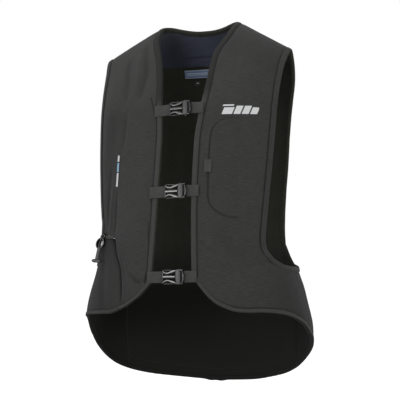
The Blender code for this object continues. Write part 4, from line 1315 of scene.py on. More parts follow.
@dataclass
class Flap(Patch):
    """Access flap whose inner side is a rounded outline and whose outer side melts away."""

    def outline(self, v: Array) -> tuple[Array, Array]:
        """Inner and outer edge, as shares of the width, at shares of the height."""
        rows = catmull(np.array(FLAP_ROWS), 200, 0)
        return np.interp(v, rows[:, 0], rows[:, 1]), np.interp(v, rows[:, 0], rows[:, 2])

    def places(self) -> tuple[Array, Array, Array, Array]:
        """X and Z over the flap with its shares down and across."""
        rows, cols = self.size
        v, u = np.meshgrid(np.linspace(0, 1, rows), np.linspace(0, 1, cols) ** 1.3, indexing="ij")
        low, high = self.outline(v)
        x = FLAP_INNER + FLAP_WIDTH * (low + (high - low) * u)
        return x, FLAP_TOP - FLAP_HEIGHT * v, v, u

    def inner_line(self, inset: float) -> tuple[Array, Array]:
        """X and Z of a line that runs a short way inside the flap's outline."""
        v = np.linspace(0.06, 0.94, 60)
        low, _ = self.outline(v)
        return FLAP_INNER + FLAP_WIDTH * low + inset, FLAP_TOP - FLAP_HEIGHT * v

    def build(self, *materials: bpy.types.Material) -> bpy.types.Object:
        """Flap with shaded edges."""
        x, z, v, u = self.places()
        gap = np.minimum(x - x[:, :1], np.minimum(z[:1] - z, z - z[-1:]))
        return self.body(x, z, u, v, materials, {"crease": 0.5 * np.exp(-(gap / 0.001) ** 2)})


@dataclass
class BarMark(Patch):
    """Patch with plain slanted bars.

    Args:
        bars: left, right, top and low of each bar, as shares of the patch.
        slant: lean of the bars as a share of the patch's width.
        tinted: shares of the height between which the bars have the second colour.
    """

    bars: tuple[tuple[float, float, float, float], ...] = ()
    slant: float = 0.0
    tinted: tuple[float, float] = (2.0, 2.0)

    def build(self, *materials: bpy.types.Material) -> bpy.types.Object:
        """Patch whose "mark" attribute is 1 on the bars."""
        x, z, v, u = self.places()
        mark = np.zeros_like(u)
        for left, right, top, low in self.bars:
            across = u + self.slant * (v - 0.5)
            inside = (across > left) & (across < right) & (v > top) & (v < low)
            mark = np.maximum(mark, inside.astype(float))
        tint = ((v > self.tinted[0]) & (v < self.tinted[1])).astype(float)
        return self.body(x, z, u, v, materials, {"mark": mark, "tint": tint})


class Solid:
    """Collects bevelled plates, bars and swept rods into one mesh."""

    rod_sides = 20

    def __init__(self, name: str) -> None:
        """Start empty, on the first material."""
        self.name = name
        self.slot = 0
        self.points: list[tuple[float, float, float]] = []
        self.faces: list[tuple[int, ...]] = []
        self.slots: list[int] = []

    def take(self, work: bmesh.types.BMesh) -> None:
        """Add the faces of a bmesh, turned outward, and free it."""
        bmesh.ops.recalc_face_normals(work, faces=work.faces)
        work.verts.index_update()
        start = len(self.points)
        self.points += [tuple(v.co) for v in work.verts]
        self.faces += [tuple(start + v.index for v in f.verts) for f in work.faces]
        self.slots += [self.slot] * len(work.faces)
        work.free()

    def plate(self, outline: Sequence[tuple[float, float]], front: float, back: float,
              bevel: float = 0.0005, segments: int = 2) -> None:
        """Add a plate with rounded rims.

        Args:
            outline: corners in X and Z.
            front: place of the front face on Y.
            back: place of the back face on Y.
            bevel: size of the rounding.
            segments: steps of the rounding.
        """
        work = bmesh.new()
        loops = [[work.verts.new((x, y, z)) for x, z in outline] for y in (front, back)]
        work.faces.new(loops[0])
        work.faces.new(loops[1][::-1])
        for i in range(len(outline)):
            j = (i + 1) % len(outline)
            work.faces.new((loops[0][j], loops[0][i], loops[1][i], loops[1][j]))
        rim = [e for e in work.edges if len({v.co.y for v in e.verts}) == 1]
        bmesh.ops.bevel(work, geom=rim, offset=bevel, segments=segments, profile=0.6,
                        affect="EDGES")
        self.take(work)

    def bar(self, low: Sequence[float], high: Sequence[float], bevel: float = 0.0005) -> None:
        """Add a box between two corners with every edge rounded."""
        work = bmesh.new()
        bmesh.ops.create_cube(work, size=1.0)
        for vert in work.verts:
            vert.co = Vector([(a + b) / 2 + c * (b - a) for a, b, c in zip(low, high, vert.co)])
        bmesh.ops.bevel(work, geom=work.edges[:], offset=bevel, segments=2, profile=0.6,
                        affect="EDGES")
        self.take(work)

    def sweep(self, rows: Sequence[Sequence[float]], depth: float, middle: float = 0.0,
              closed: bool = False, flat: float = 1.0) -> None:
        """Add a rounded rod along a line.

        Args:
            rows: X, Z and half width at places along the line.
            depth: half depth on Y.
            middle: place of the line on Y.
            closed: true when the line is a loop.
            flat: power of the section's rounding, lower for a flatter top.
        """
        path = np.array(rows, float)
        if not closed:
            path = catmull(path, len(path) * 5, 0)
        ahead = np.roll(path, -1, 0) - np.roll(path, 1, 0)
        if not closed:
            ahead[0], ahead[-1] = path[1] - path[0], path[-1] - path[-2]
        ahead = ahead[:, :2] / np.linalg.norm(ahead[:, :2], axis=1, keepdims=True)
        work = bmesh.new()
        rings = []
        sides, power = self.rod_sides, min(0.8, flat)
        for (x, z, half), (dx, dz) in zip(path, ahead):
            ring = []
            for k in range(sides):
                turn = math.tau * k / sides
                across = half * math.copysign(abs(math.cos(turn)) ** power, math.cos(turn))
                deep = depth * math.copysign(abs(math.sin(turn)) ** flat, math.sin(turn))
                ring.append(work.verts.new((x - dz * across, middle + deep, z + dx * across)))
            rings.append(ring)
        if not closed:
            work.faces.new(rings[0])
            work.faces.new(rings[-1][::-1])
        for a, b in zip(rings, rings[1:] + rings[:1] if closed else rings[1:]):
            for k in range(sides):
                m = (k + 1) % sides
                work.faces.new((a[k], a[m], b[m], b[k]))
        self.take(work)

    def loop(self, x: float, z: float, wide: float, high: float, half: float, depth: float
             ) -> None:
        """Add an oval ring.

        Args:
            x: middle on X.
            z: middle on Z.
            wide: half width of the oval.
            high: half height of the oval.
            half: half width of its rod.
            depth: half depth of its rod.
        """
        turns = [math.tau * k / 36 for k in range(36)]
        self.sweep([(x + wide * math.cos(t), z + high * math.sin(t), half) for t in turns], depth,
                   closed=True)

    def build(self, materials: Sequence[bpy.types.Material],
              place: Callable[[Array], Array] | None = None) -> bpy.types.Object:
        """One object of everything added, moved into place."""
        points = np.array(self.points)
        if place:
            points = place(points)
        mesh = bpy.data.meshes.new(self.name)
        mesh.from_pydata(points.tolist(), [], self.faces)
        mesh.shade_smooth()
        for material in materials:
            mesh.materials.append(material)
        mesh.polygons.foreach_set("material_index", np.array(self.slots, np.int32))
        mesh.set_sharp_from_angle(angle=math.radians(50))
        return link_object(self.name, mesh)


@dataclass(frozen=True)
class Closure:
    """One front closure: the two halves of a side-release buckle and their webbing.

    Args:
        name: first word of its CAD nodes.
        height: height of the buckle in metres.
        rise: how far it rises over the strap's length in metres.
    """

    name: str
    height: float
    rise: float
    length: float = 0.0425
    half: float = 0.01275
    start: float = -0.0135
    end: float = 0.029
    lift: float = 0.0064

    @property
    def depth(self) -> float:
        """Front surface at the closure."""
        return FRONT_DEPTH * float(FORM.front(self.height / DROP))

    def place(self, points: Array) -> Array:
        """Buckle coordinates turned and moved to the chest."""
        tilt = math.atan2(self.rise, 0.0915)
        below = FRONT_DEPTH * float(FORM.front((self.height - 0.01) / DROP))
        above = FRONT_DEPTH * float(FORM.front((self.height + 0.01) / DROP))
        lean = math.atan2(below - above, 0.02)
        middle = np.array((0.5 * (self.start + self.end), -self.depth - self.lift, self.height))
        shift = np.array((math.cos(tilt), 0.0, math.sin(tilt))) * self.length / 2
        ca, sa = math.cos(-lean), math.sin(-lean)
        cb, sb = math.cos(-tilt), math.sin(-tilt)
        turn_x = np.array(((1, 0, 0), (0, ca, -sa), (0, sa, ca)))
        turn_y = np.array(((cb, 0, sb), (0, 1, 0), (-sb, 0, cb)))
        return points @ (turn_y @ turn_x).T + middle - shift

    def seat(self, x: float, panel: Panel | None = None) -> float:
        """Place on Y, from the buckle's middle, of webbing lying on the edge band."""
        angle, q = FORM.place(np.array(self.start + x), np.array(self.height))
        return float(FORM.point(angle, q)[..., 1]) - 0.0026 + self.depth + self.lift

    def male(self, cloths: Cloths) -> bpy.types.Object:
        """Half with the ladder bar, two bowed prongs and the middle guide."""
        solid = Solid(f"{self.name}_buckle_male")
        h = self.half
        solid.bar((0.0002, -0.0022, -h + 0.0012), (0.0022, 0.0018, h - 0.0012), 0.0008)
        solid.sweep([(0.0014, 0.0, 0.0022), (0.005, 0.0, 0.0026), (0.018, 0.0, 0.0026),
                     (0.0236, 0.0, 0.0024)], 0.0021, -0.0012, flat=0.45)
        for sign in (1, -1):
            rows = ((0.001, 0.0104, 0.0012), (0.0038, 0.0078, 0.0018), (0.007, 0.0064, 0.002),
                    (0.011, 0.0062, 0.0021), (0.015, 0.0074, 0.0026), (0.019, 0.0088, 0.003),
                    (0.0222, 0.0098, 0.0028), (0.0252, 0.0108, 0.0015), (0.03, 0.0114, 0.0011),
                    (0.0336, 0.011, 0.001))
            solid.sweep([(x, sign * z, half) for x, z, half in rows], 0.002, -0.001, flat=0.6)
            solid.sweep([(0.0012, sign * 0.0112, 0.0008), (0.006, sign * 0.0117, 0.0008),
                         (0.012, sign * 0.0117, 0.0008), (0.019, sign * 0.0112, 0.001)],
                        0.0012, 0.0006)
        return solid.build((cloths.plastic,), self.place)

    def female(self, cloths: Cloths) -> bpy.types.Object:
        """Half with the matt collar, its back plate and the crescent end."""
        solid = Solid(f"{self.name}_buckle_female")
        h = self.half
        solid.slot = 1
        collar = [(0.0262, -h + 0.001), (0.0256, -0.006), (0.0254, 0.0), (0.0256, 0.006),
                  (0.0262, h - 0.001), (0.0272, h), (0.0326, h), (0.034, h - 0.0014),
                  (0.0342, 0.0), (0.034, -h + 0.0014), (0.0326, -h), (0.0272, -h)]
        solid.plate(collar, -0.0041, -0.0024, 0.0008, 3)
        solid.slot = 0
        solid.plate(collar, 0.0024, 0.0041, 0.0006)
        for sign in (1, -1):
            low, high = sorted((sign * (h - 0.0022), sign * (h - 0.0002)))
            solid.bar((0.029, -0.003, low), (0.0388, 0.003, high), 0.0007)
        solid.sweep([(0.0362, -0.0116, 0.0008), (0.0378, -0.008, 0.0016), (0.0388, -0.003, 0.0023),
                     (0.0389, 0.003, 0.0023), (0.0379, 0.008, 0.0016), (0.0362, 0.0116, 0.0008)],
                    0.0024, -0.0014)
        return solid.build((cloths.plastic, cloths.grained), self.place)

    def strap(self, name: str, line: Sequence[tuple[float, float]],
              material: bpy.types.Material) -> bpy.types.Object:
        """Length of webbing along a line in X and Y of the buckle."""
        path = catmull(np.array(line), len(line) * 7, 0)
        along = np.gradient(path, axis=0)
        along /= np.linalg.norm(along, axis=1, keepdims=True)
        out = np.stack([-along[:, 1], along[:, 0]], axis=1)
        ring = [(-0.0099, 0.00035), (-0.0095, 0.00075), (-0.005, 0.0008), (0.0, 0.0008),
                (0.005, 0.0008), (0.0095, 0.00075), (0.0099, 0.00035), (0.0099, -0.00035),
                (0.0095, -0.00075), (0.0, -0.0008), (-0.0095, -0.00075), (-0.0099, -0.00035)]
        rings = np.stack([np.stack([path[:, 0] + out[:, 0] * y, path[:, 1] + out[:, 1] * y,
                                    np.full(len(path), z)], axis=1) for z, y in ring], axis=1)
        rows, cols = rings.shape[:2]
        fan = np.array([(0, k, k + 1, k + 1) for k in range(1, cols - 1)])
        faces = [tube_faces(rows, cols), fan[:, ::-1], fan + (rows - 1) * cols]
        run = lengths(path, 0)
        uv = np.stack(np.meshgrid(run, [z for z, _ in ring], indexing="ij"), axis=-1)
        return make_object(name, self.place(rings.reshape(-1, 3)), np.concatenate(faces),
                           (material,), uv=uv, attributes={"crease": np.zeros(rows * cols)})

    def build(self, cloths: Cloths) -> list[bpy.types.Object]:
        """All four pieces of the closure."""
        near = [(x, self.seat(x)) for x in (-0.031, -0.0235, -0.016)]
        line = near + [(-0.006, 0.003), (0.0046, 0.003), (0.0064, 0.0012), (0.0068, -0.0008)]
        right = self.strap(f"{self.name}_strap_right_side", line, cloths.webbing)
        far = [(x, self.seat(x)) for x in (0.045, 0.0525, 0.06)]
        line = [(0.0352, -0.0012), (0.0357, 0.0006), (0.0384, 0.0022), (0.0405, 0.0022)] + far
        left = self.strap(f"{self.name}_strap_left_side", line, cloths.webbing)
        return [self.male(cloths), self.female(cloths), right, left]


@dataclass(frozen=True)
class Trigger:
    """Moulded trigger fitting that hangs at the wearer's right on a thin strap."""

    top: tuple[float, float] = (-0.148, -0.3655)
    foot: tuple[float, float] = (-0.152, -0.4185)
    top_lift: float = 0.0058
    foot_lift: float = 0.014

    def ends(self) -> tuple[Array, Array]:
        """Top and foot of the fitting in space."""
        found = []
        for (x, z), lift in ((self.top, self.top_lift), (self.foot, self.foot_lift)):
            angle, q = FORM.place(np.array(x), np.array(z))
            out, _, _ = FORM.frame(angle, q)
            found.append(FORM.point(angle, q) + out * lift)
        return found[0], found[1]

    def place(self, points: Array) -> Array:
        """Fitting coordinates moved along its leaning axis."""
        top, foot = self.ends()
        axis = (foot - top) / np.linalg.norm(foot - top)
        flat = points * np.array((1.0, 1.0, 0.0))
        return top + flat + np.outer(-points[:, 2], axis)

    def build(self, cloths: Cloths) -> list[bpy.types.Object]:
        """The fitting and its strap."""
        solid = Solid("trigger_fitting")
        solid.loop(0.0022, -0.0042, 0.0036, 0.0034, 0.0013, 0.002)
        solid.loop(0.0, -0.0166, 0.0072, 0.0094, 0.0017, 0.0034)
        solid.sweep([(0.0004, -0.007, 0.0017), (-0.0012, -0.012, 0.0012),
                     (-0.0012, -0.02, 0.0012), (0.0002, -0.0262, 0.0018)], 0.0026)
        solid.plate([(-0.0058, -0.011), (0.0058, -0.011), (0.0066, -0.017), (0.0048, -0.024),
                     (-0.0048, -0.024), (-0.0066, -0.017)], 0.001, 0.003, 0.0006)
        solid.slot = 1
        solid.sweep([(0.0, -0.024, 0.0036), (0.0, -0.029, 0.004), (0.0, -0.038, 0.0038),
                     (0.0, -0.046, 0.004)], 0.0036)
        solid.sweep([(-0.0082, -0.0478, 0.0018), (-0.005, -0.0492, 0.0034), (0.0, -0.0492, 0.0036),
                     (0.005, -0.0496, 0.0034), (0.0086, -0.0506, 0.0018)], 0.005)
        fitting = solid.build((cloths.plastic, cloths.grained), self.place)
        strap = Patch("trigger_strap", ((-0.1478, -0.3676), (-0.1225, -0.3676), (-0.1225, -0.373),
                                        (-0.1478, -0.373)), (6, 30), (0.0006, 0.0012))
        return [fitting, strap.build(cloths.webbing)]


# Groove round the access flap, in X and Z.
FLAP_LINE = (
    (0.119, -0.165), (0.098, -0.163), (0.085, -0.164), (0.072, -0.1725), (0.0635, -0.183),
    (0.0612, -0.2), (0.061, -0.26), (0.0622, -0.3), (0.066, -0.312), (0.076, -0.323),
    (0.09, -0.3325), (0.106, -0.335),
)
# Painted shade on the turn of the left side under the arm.
LEFT_TURN_SHADE = Fold(((0.202, -0.41), (0.215, -0.57)), 0.0, 0.036, 0.6, False)
# Ridges and valleys of the front panels with painted shade in them; entries with no depth are
# painted shade alone.
FRONT_FOLDS_AND_SHADE: dict[Side, tuple[Fold, ...]] = {
    Side.LEFT: (
        LEFT_TURN_SHADE,
        # Painted shade over the upper left front.
        Fold(((0.08, 0.0), (0.17, -0.05)), 0.0, 0.05, 0.28, False),
        Fold(((0.075, -0.37), (0.11, -0.4), (0.15, -0.41)), -0.0016, 0.012, 0.1),
        Fold(((0.06, -0.44), (0.1, -0.455), (0.15, -0.452)), 0.0014, 0.014),
        Fold(((0.13, -0.06), (0.138, -0.11), (0.15, -0.16)), -0.0012, 0.01, 0.08),
        Fold(((0.178, -0.385), (0.161, -0.411), (0.117, -0.42)), -0.0016, 0.006, 0.12),
        Fold(FLAP_LINE, -0.0012, 0.0014, 0.85),
    ),
    Side.RIGHT: (
        Fold(((-0.1185, -0.04), (-0.1105, -0.098), (-0.1063, -0.126)), -0.003, 0.006, 0.3),
        Fold(((-0.0905, -0.016), (-0.0741, -0.077), (-0.0778, -0.123)), -0.0034, 0.006, 0.34),
        Fold(((-0.1, -0.03), (-0.09, -0.08), (-0.091, -0.12)), 0.0024, 0.007),
        Fold(((-0.1051, -0.143), (-0.1065, -0.185), (-0.1095, -0.222)), -0.0024, 0.005, 0.3),
        # Pleat above the slit, with painted shade over the side zone beyond it and over the low
        # front below it.
        Fold(((-0.1169, -0.285), (-0.1179, -0.342), (-0.1215, -0.3715)), -0.0022, 0.003, 0.7),
        Fold(((-0.14, -0.16), (-0.147, -0.27), (-0.148, -0.36)), 0.0, 0.024, 0.62, False),
        Fold(((-0.112, -0.4), (-0.104, -0.5)), 0.0, 0.024, 0.52, False),
        Fold(((-0.126, -0.28), (-0.13, -0.33), (-0.133, -0.365)), 0.0022, 0.004),
        Fold(((-0.133, -0.24), (-0.1365, -0.3), (-0.138, -0.352)), -0.002, 0.004, 0.35),
        # Open places of the facing's seam behind the three straps, and creases beside the lowest
        # strap, dark with painted shade.
        Fold(((-0.0555, -0.122), (-0.0475, -0.141), (-0.0398, -0.161)), -0.002, 0.0014, 0.95,
             False),
        Fold(((-0.041, -0.277), (-0.0415, -0.295), (-0.0418, -0.316)), -0.0024, 0.0018, 0.95),
        Fold(((-0.0448, -0.342), (-0.0454, -0.36), (-0.0451, -0.379)), -0.0016, 0.0014, 0.85),
        Fold(((-0.042, -0.415), (-0.0446, -0.429), (-0.048, -0.44), (-0.0512, -0.451)),
             -0.0034, 0.0026, 0.97),
        Fold(((-0.083, -0.433), (-0.0685, -0.446), (-0.0539, -0.449)), -0.0028, 0.0048, 0.62),
        Fold(((-0.09, -0.42), (-0.083, -0.433), (-0.08, -0.442)), -0.0016, 0.0045, 0.25),
        Fold(((-0.1, -0.41), (-0.096, -0.424), (-0.09, -0.444)), -0.0014, 0.004, 0.22),
    ),
}
SIDE_FOLDS_AND_SHADE: dict[Side, tuple[Fold, ...]] = {
    Side.LEFT: (
        LEFT_TURN_SHADE,
        Fold(((0.196, -0.43), (0.205, -0.47), (0.208, -0.52)), -0.0014, 0.008, 0.1),
    ),
    Side.RIGHT: (
        # Painted shade where the right side turns away from the light.
        Fold(((-0.14, -0.37), (-0.155, -0.43), (-0.16, -0.52)), 0.0, 0.058, 0.88, False),
        Fold(((-0.15, -0.4), (-0.148, -0.45), (-0.14, -0.51)), -0.002, 0.009, 0.12),
    ),
}


# Ribs and seams inside the neck and the back, on the inner side of the cloth, with painted shade
# over the neck's right side and beside the left armhole.
NECK_FOLDS_AND_SHADE: tuple[Fold, ...] = (
    Fold(((-0.085, -0.0175), (-0.05, -0.0165), (0.02, -0.016)), -0.0002, 0.0022, 0.75),
    Fold(((-0.085, -0.023), (-0.05, -0.022), (0.02, -0.0215)), -0.0014, 0.0028),
    Fold(((-0.08, 0.03), (-0.075, -0.05)), 0.0, 0.032, 0.62, False),
)
LINING_PAINTED_SHADE: tuple[Fold, ...] = (
    Fold(((0.19, -0.05), (0.19, -0.4)), 0.0, 0.03, 0.5, False),
)


@dataclass(frozen=True)
class StitchRow:
    """Rows of stitches laid along lines by Geometry Nodes.

    Args:
        name: name of the piece.
        pitch: distance from one stitch to the next in metres.
        length: length of a stitch in metres.
        radius: half thickness of the thread in metres.
        seed: seed of the small differences between stitches.
    """

    name: str
    pitch: float = 0.0034
    length: float = 0.0025
    radius: float = 0.00032
    seed: int = 5

    def tree(self, thread: bpy.types.Material) -> bpy.types.NodeTree:
        """Node tree with named inputs for the stitch's sizes."""
        tree = bpy.data.node_groups.new("stitch rows", "GeometryNodeTree")
        face = tree.interface
        face.new_socket("Geometry", in_out="INPUT", socket_type="NodeSocketGeometry")
        for name in ("Pitch", "Length", "Radius"):
            face.new_socket(name, in_out="INPUT", socket_type="NodeSocketFloat")
        face.new_socket("Seed", in_out="INPUT", socket_type="NodeSocketInt")
        face.new_socket("Geometry", in_out="OUTPUT", socket_type="NodeSocketGeometry")
        nodes = NodeTree(tree)
        given = nodes.add("NodeGroupInput").outputs
        curve = nodes.add("GeometryNodeMeshToCurve", None, Mesh=given["Geometry"])
        even = nodes.add("GeometryNodeResampleCurve", {"mode": "LENGTH"}, Curve=curve,
                         Length=given["Pitch"])
        ahead = nodes.add("GeometryNodeInputTangent")
        turn = nodes.add("FunctionNodeAlignRotationToVector", {"axis": "Z"}, Vector=ahead)
        ball = nodes.add("GeometryNodeMeshUVSphere", None, Segments=6, Rings=5, Radius=1.0)
        vary = nodes.add("FunctionNodeRandomValue", {"data_type": "FLOAT"}, Seed=given["Seed"],
                         i2=0.42, i3=0.52)
        long = nodes.add("ShaderNodeMath", {"operation": "MULTIPLY"}, i0=given["Length"],
                         i1=vary.outputs[1])
        size = nodes.add("ShaderNodeCombineXYZ", None, X=given["Radius"], Y=given["Radius"], Z=long)
        laid = nodes.add("GeometryNodeInstanceOnPoints", None, Points=even, Instance=ball,
                         Rotation=turn, Scale=size)
        real = nodes.add("GeometryNodeRealizeInstances", None, Geometry=laid)
        done = nodes.add("GeometryNodeSetMaterial", None, Geometry=real, Material=thread)
        nodes.add("NodeGroupOutput", None, Geometry=done)
        return tree

    def build(self, lines: Sequence[Array], thread: bpy.types.Material) -> bpy.types.Object:
        """Plain mesh of all stitches.

        Args:
            lines: points of each row in space.
            thread: material of the thread.

        Returns:
            One object with every stitch.
        """
        points, edges = [], []
        for line in lines:
            start = len(points)
            points += [tuple(p) for p in line]
            edges += [(start + k, start + k + 1) for k in range(len(line) - 1)]
        guide = bpy.data.meshes.new(self.name)
        guide.from_pydata(points, edges, [])
        carrier = link_object(self.name, guide)
        tree = self.tree(thread)
        modifier = carrier.modifiers.new("stitches", "NODES")
        modifier.node_group = tree
        values = {"Pitch": self.pitch, "Length": self.length, "Radius": self.radius,
                  "Seed": self.seed}
        for item in tree.interface.items_tree:
            if item.item_type == "SOCKET" and item.in_out == "INPUT" and item.name in values:
                modifier[item.identifier] = values[item.name]
        seen = carrier.evaluated_get(bpy.context.evaluated_depsgraph_get())
        mesh = bpy.data.meshes.new_from_object(seen)
        carrier.modifiers.clear()
        carrier.data = mesh
        mesh.shade_smooth()
        return carrier


class Vest:
    """The whole vest: panels, bindings, linings, marks, closures and the trigger fitting."""

    def __init__(self, cloths: Cloths) -> None:
        """Keep the materials and start with no pieces."""
        self.cloths = cloths
        self.panels: dict[str, Panel] = {}
        self.seams: list[Array] = []

    def keep(self, piece: bpy.types.Object, slot: str, *nodes: str) -> bpy.types.Object:
        """Ride a piece on the vest, hide the CAD nodes it stands for and log its slot."""
        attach(piece, "root")
        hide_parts(*nodes)
        LOG.info("%s, %s", piece.name, slot)
        return piece

    def lay(self, piece: bpy.types.Object, flat: tuple[float, float], held: str, *on: str,
            rim: float = 0.0) -> None:
        """Log a sheet of cloth by the size it is cut to and its area.

        Args:
            piece: the cloth.
            flat: width and length of the cut in metres.
            held: how it is held; not used.
            on: names of what it hangs from or lies on; not used.
            rim: height of its cut edge in metres, which isn't part of either face.
        """
        skin = sum(face.area for face in piece.data.polygons)
        edge = 2 * (flat[0] + flat[1]) * rim
        area = min((skin - edge) / 2, flat[0] * flat[1])
        LOG.info("%s cut %.3f x %.3f m, area %.4f m2", piece.name, *flat, area)

    def lay_panel(self, piece: bpy.types.Object, panel: Panel, held: str, *on: str) -> None:
        """Log a panel's cut by the largest width and length of its drafted grid."""
        base = FORM.point(panel.angle, panel.q)
        wide = float(lengths(base, 1)[:, -1].max())
        long = float(lengths(base, 0)[-1].max())
        self.lay(piece, (wide, long), held, *on, rim=panel.lift[1] * 0.8)

    def add_panel(self, panel: Panel, inside: bpy.types.Material, *on: str) -> bpy.types.Object:
        """Build a panel and keep it under its node's name."""
        piece = self.keep(panel.build(self.cloths.shell, inside), "shell_cloth", panel.name)
        self.panels[panel.name] = panel
        self.lay_panel(piece, panel, "hung", *on)
        return piece

    def add_binding(self, binding: EdgeBinding, cloth: bpy.types.Material, *on: str) -> None:
        """Build a binding, keep it, log its strip and note its row of stitches."""
        piece = self.keep(binding.build(cloth, self.cloths.lining), "band_cloth", binding.name)
        long, wide = binding.cut()
        self.lay(piece, (wide, long), "folded", *on)
        self.seams.append(binding.seam())

    def add_mark(self, patch: Patch, cloth: bpy.types.Material, slot: str,
                 flat: tuple[float, float], held: str, on: str) -> None:
        """Args:
            patch: the patch, named for its CAD node.
            cloth: its material.
            slot: slot of the material.
            flat: width and length of the cut in metres.
            held: how it is held.
            on: node that it lies on or hangs from.
        """
        self.lay(self.keep(patch.build(cloth), slot, patch.name), flat, held, on)

    def build_fronts(self) -> None:
        """Front panels with their edge facings."""
        for side in Side:
            grid = Outline.front(side)
            name = f"{side.word}_front_panel"
            left = side is Side.LEFT
            slit, wide = (-9.0, 0.0095) if left else (-0.362, 0.0086)
            panel = Panel(name, grid, (300, 120), FRONT_FOLDS_AND_SHADE[side], seed=3 + side.value,
                          free_last=slit, band=wide + 0.0002, groove=0.7 if left else 0.95,
                          narrow=0.36 * wide)
            self.add_panel(panel, self.cloths.lining, "back_panel")
            path = (np.concatenate([grid[0][:, 0], grid[0][-1, 1:]]),
                    np.concatenate([grid[1][:, 0], grid[1][-1, 1:]]))
            dim = (-0.118, 0.9) if left else (-0.13, 1.0)
            facing = EdgeBinding(f"{side.word}_front_facing", path, side.value, wide, dim=dim,
                                 narrow=(-0.434 if left else -0.448, 0.64))
            self.add_binding(facing, self.cloths.band, name)

    def build_back(self) -> None:
        """Back panel and its linings."""
        grid = Outline.back(BACK_LEVELS)
        back = Panel("back_panel", grid, (230, 170), (), seed=9, bound=(False, True, False, False))
        self.add_panel(back, self.cloths.lining)
        low = -PANEL_THICK - JOINT_GAP
        grid = grid[0], self.settled(*grid, -0.034)
        spans = {"back_lining": (slice(8, -1), slice(0, 19), self.cloths.lining, "lining_cloth",
                                 LINING_PAINTED_SHADE),
                 "neck_lining": (slice(1, 8), slice(2, 17), self.cloths.navy, "navy_cloth",
                                 NECK_FOLDS_AND_SHADE)}
        for name, (rows, cols, cloth, slot, folds) in spans.items():
            part = Panel(name, (grid[0][rows, cols], grid[1][rows, cols]), (150, 120), folds, 0.0,
                         0.0, 2, bound=(False,) * 4, lift=(low, 0.0012), taper=True)
            piece = self.keep(part.build(cloth, cloth), slot, name)
            self.panels[name] = part
            self.lay_panel(piece, part, "hung", "back_panel")

    @staticmethod
    def settled(angle: Array, q: Array, height: float) -> Array:
        """Distances down the back with the joint of the two linings at one height."""
        level = np.array(BACK_LEVELS)[:, None]
        joint = BACK_LEVELS[7]
        pull = np.where(level < joint, level / joint, (1 - level) / (1 - joint))
        lateral = np.linspace(-1, 1, q.shape[1])[None, :]
        pull = pull * smoothstep(0.0, 0.25, 1 - np.abs(lateral))
        return q + (FORM.down(angle[7:8], height) - q[7:8]) * pull

    def build_sides(self) -> None:
        """Side panels with their hem bindings."""
        for side in Side:
            grid = Outline.side(side)
            right = side is Side.RIGHT
            panel = Panel(f"{side.word}_side_panel", grid, (120, 110), SIDE_FOLDS_AND_SHADE[side], 0.0014,
                          0.0008, 21 + side.value, bound=(True, True, False, False),
                          free_first=right, free_top=SLIT_TOP_END if right else 0.0)
            self.add_panel(panel, self.cloths.lining, "back_panel")
            hem = EdgeBinding(f"{side.word}_side_hem_binding", (grid[0][-1], grid[1][-1]),
                              side.value, width=0.006, dim=(-9.0, 0.4 if right else 0.3))
            self.add_binding(hem, self.cloths.band, panel.name)

    def build_bindings(self) -> None:
        """Bindings of the armholes, the tail and the collar."""
        for side in Side:
            sign = side.value
            z = np.linspace(-0.0335, -0.378, 26)
            front = (sign * Outline.arm_front(side, z), z)
            turn = np.linspace(54.5, 127.3, 14)
            floor = (sign * turn, Outline.arm_floor(turn))
            if side is Side.RIGHT:
                keep = z > -0.36
                front = (front[0][keep], z[keep])
                floor = (floor[0][1:], floor[1][1:])
            angle = np.concatenate([front[0], floor[0]])
            height = np.concatenate([front[1], floor[1]])
            path = (angle, FORM.down(angle, height))
            low = EdgeBinding(f"{side.word}_armhole_front_binding", path, -sign, BINDING_WIDTH)
            self.add_binding(low, self.cloths.shell, f"{side.word}_front_panel")
            z = np.linspace(-0.385, -0.0335, 24)
            angle = sign * Outline.arm_back(z)
            high = EdgeBinding(f"{side.word}_armhole_back_binding", (angle, FORM.down(angle, z)),
                               -sign, BINDING_WIDTH)
            self.add_binding(high, self.cloths.shell, "back_panel")
        angle = np.linspace(BACK_SEAM_ANGLE, 360.0 - BACK_SEAM_ANGLE, 41)
        path = (angle, FORM.down(angle, Outline.hem(angle, Side.LEFT)))
        tail = EdgeBinding("tail_binding", path, 1, BINDING_WIDTH)
        self.add_binding(tail, self.cloths.band, "back_panel")
        edge = float(FORM.angle(NECK_SHARE, back=True))
        angle = np.linspace(edge, 360.0 - edge, 25)
        dip = np.maximum(0.0, 1 - FORM.share(angle) / NECK_SHARE)
        path = (angle, NECK_DIP * (1 - (1 - dip) ** 2))
        collar = EdgeBinding("collar_binding", path, -1, BINDING_WIDTH, BINDING_WIDTH)
        self.add_binding(collar, self.cloths.lining, "back_panel")

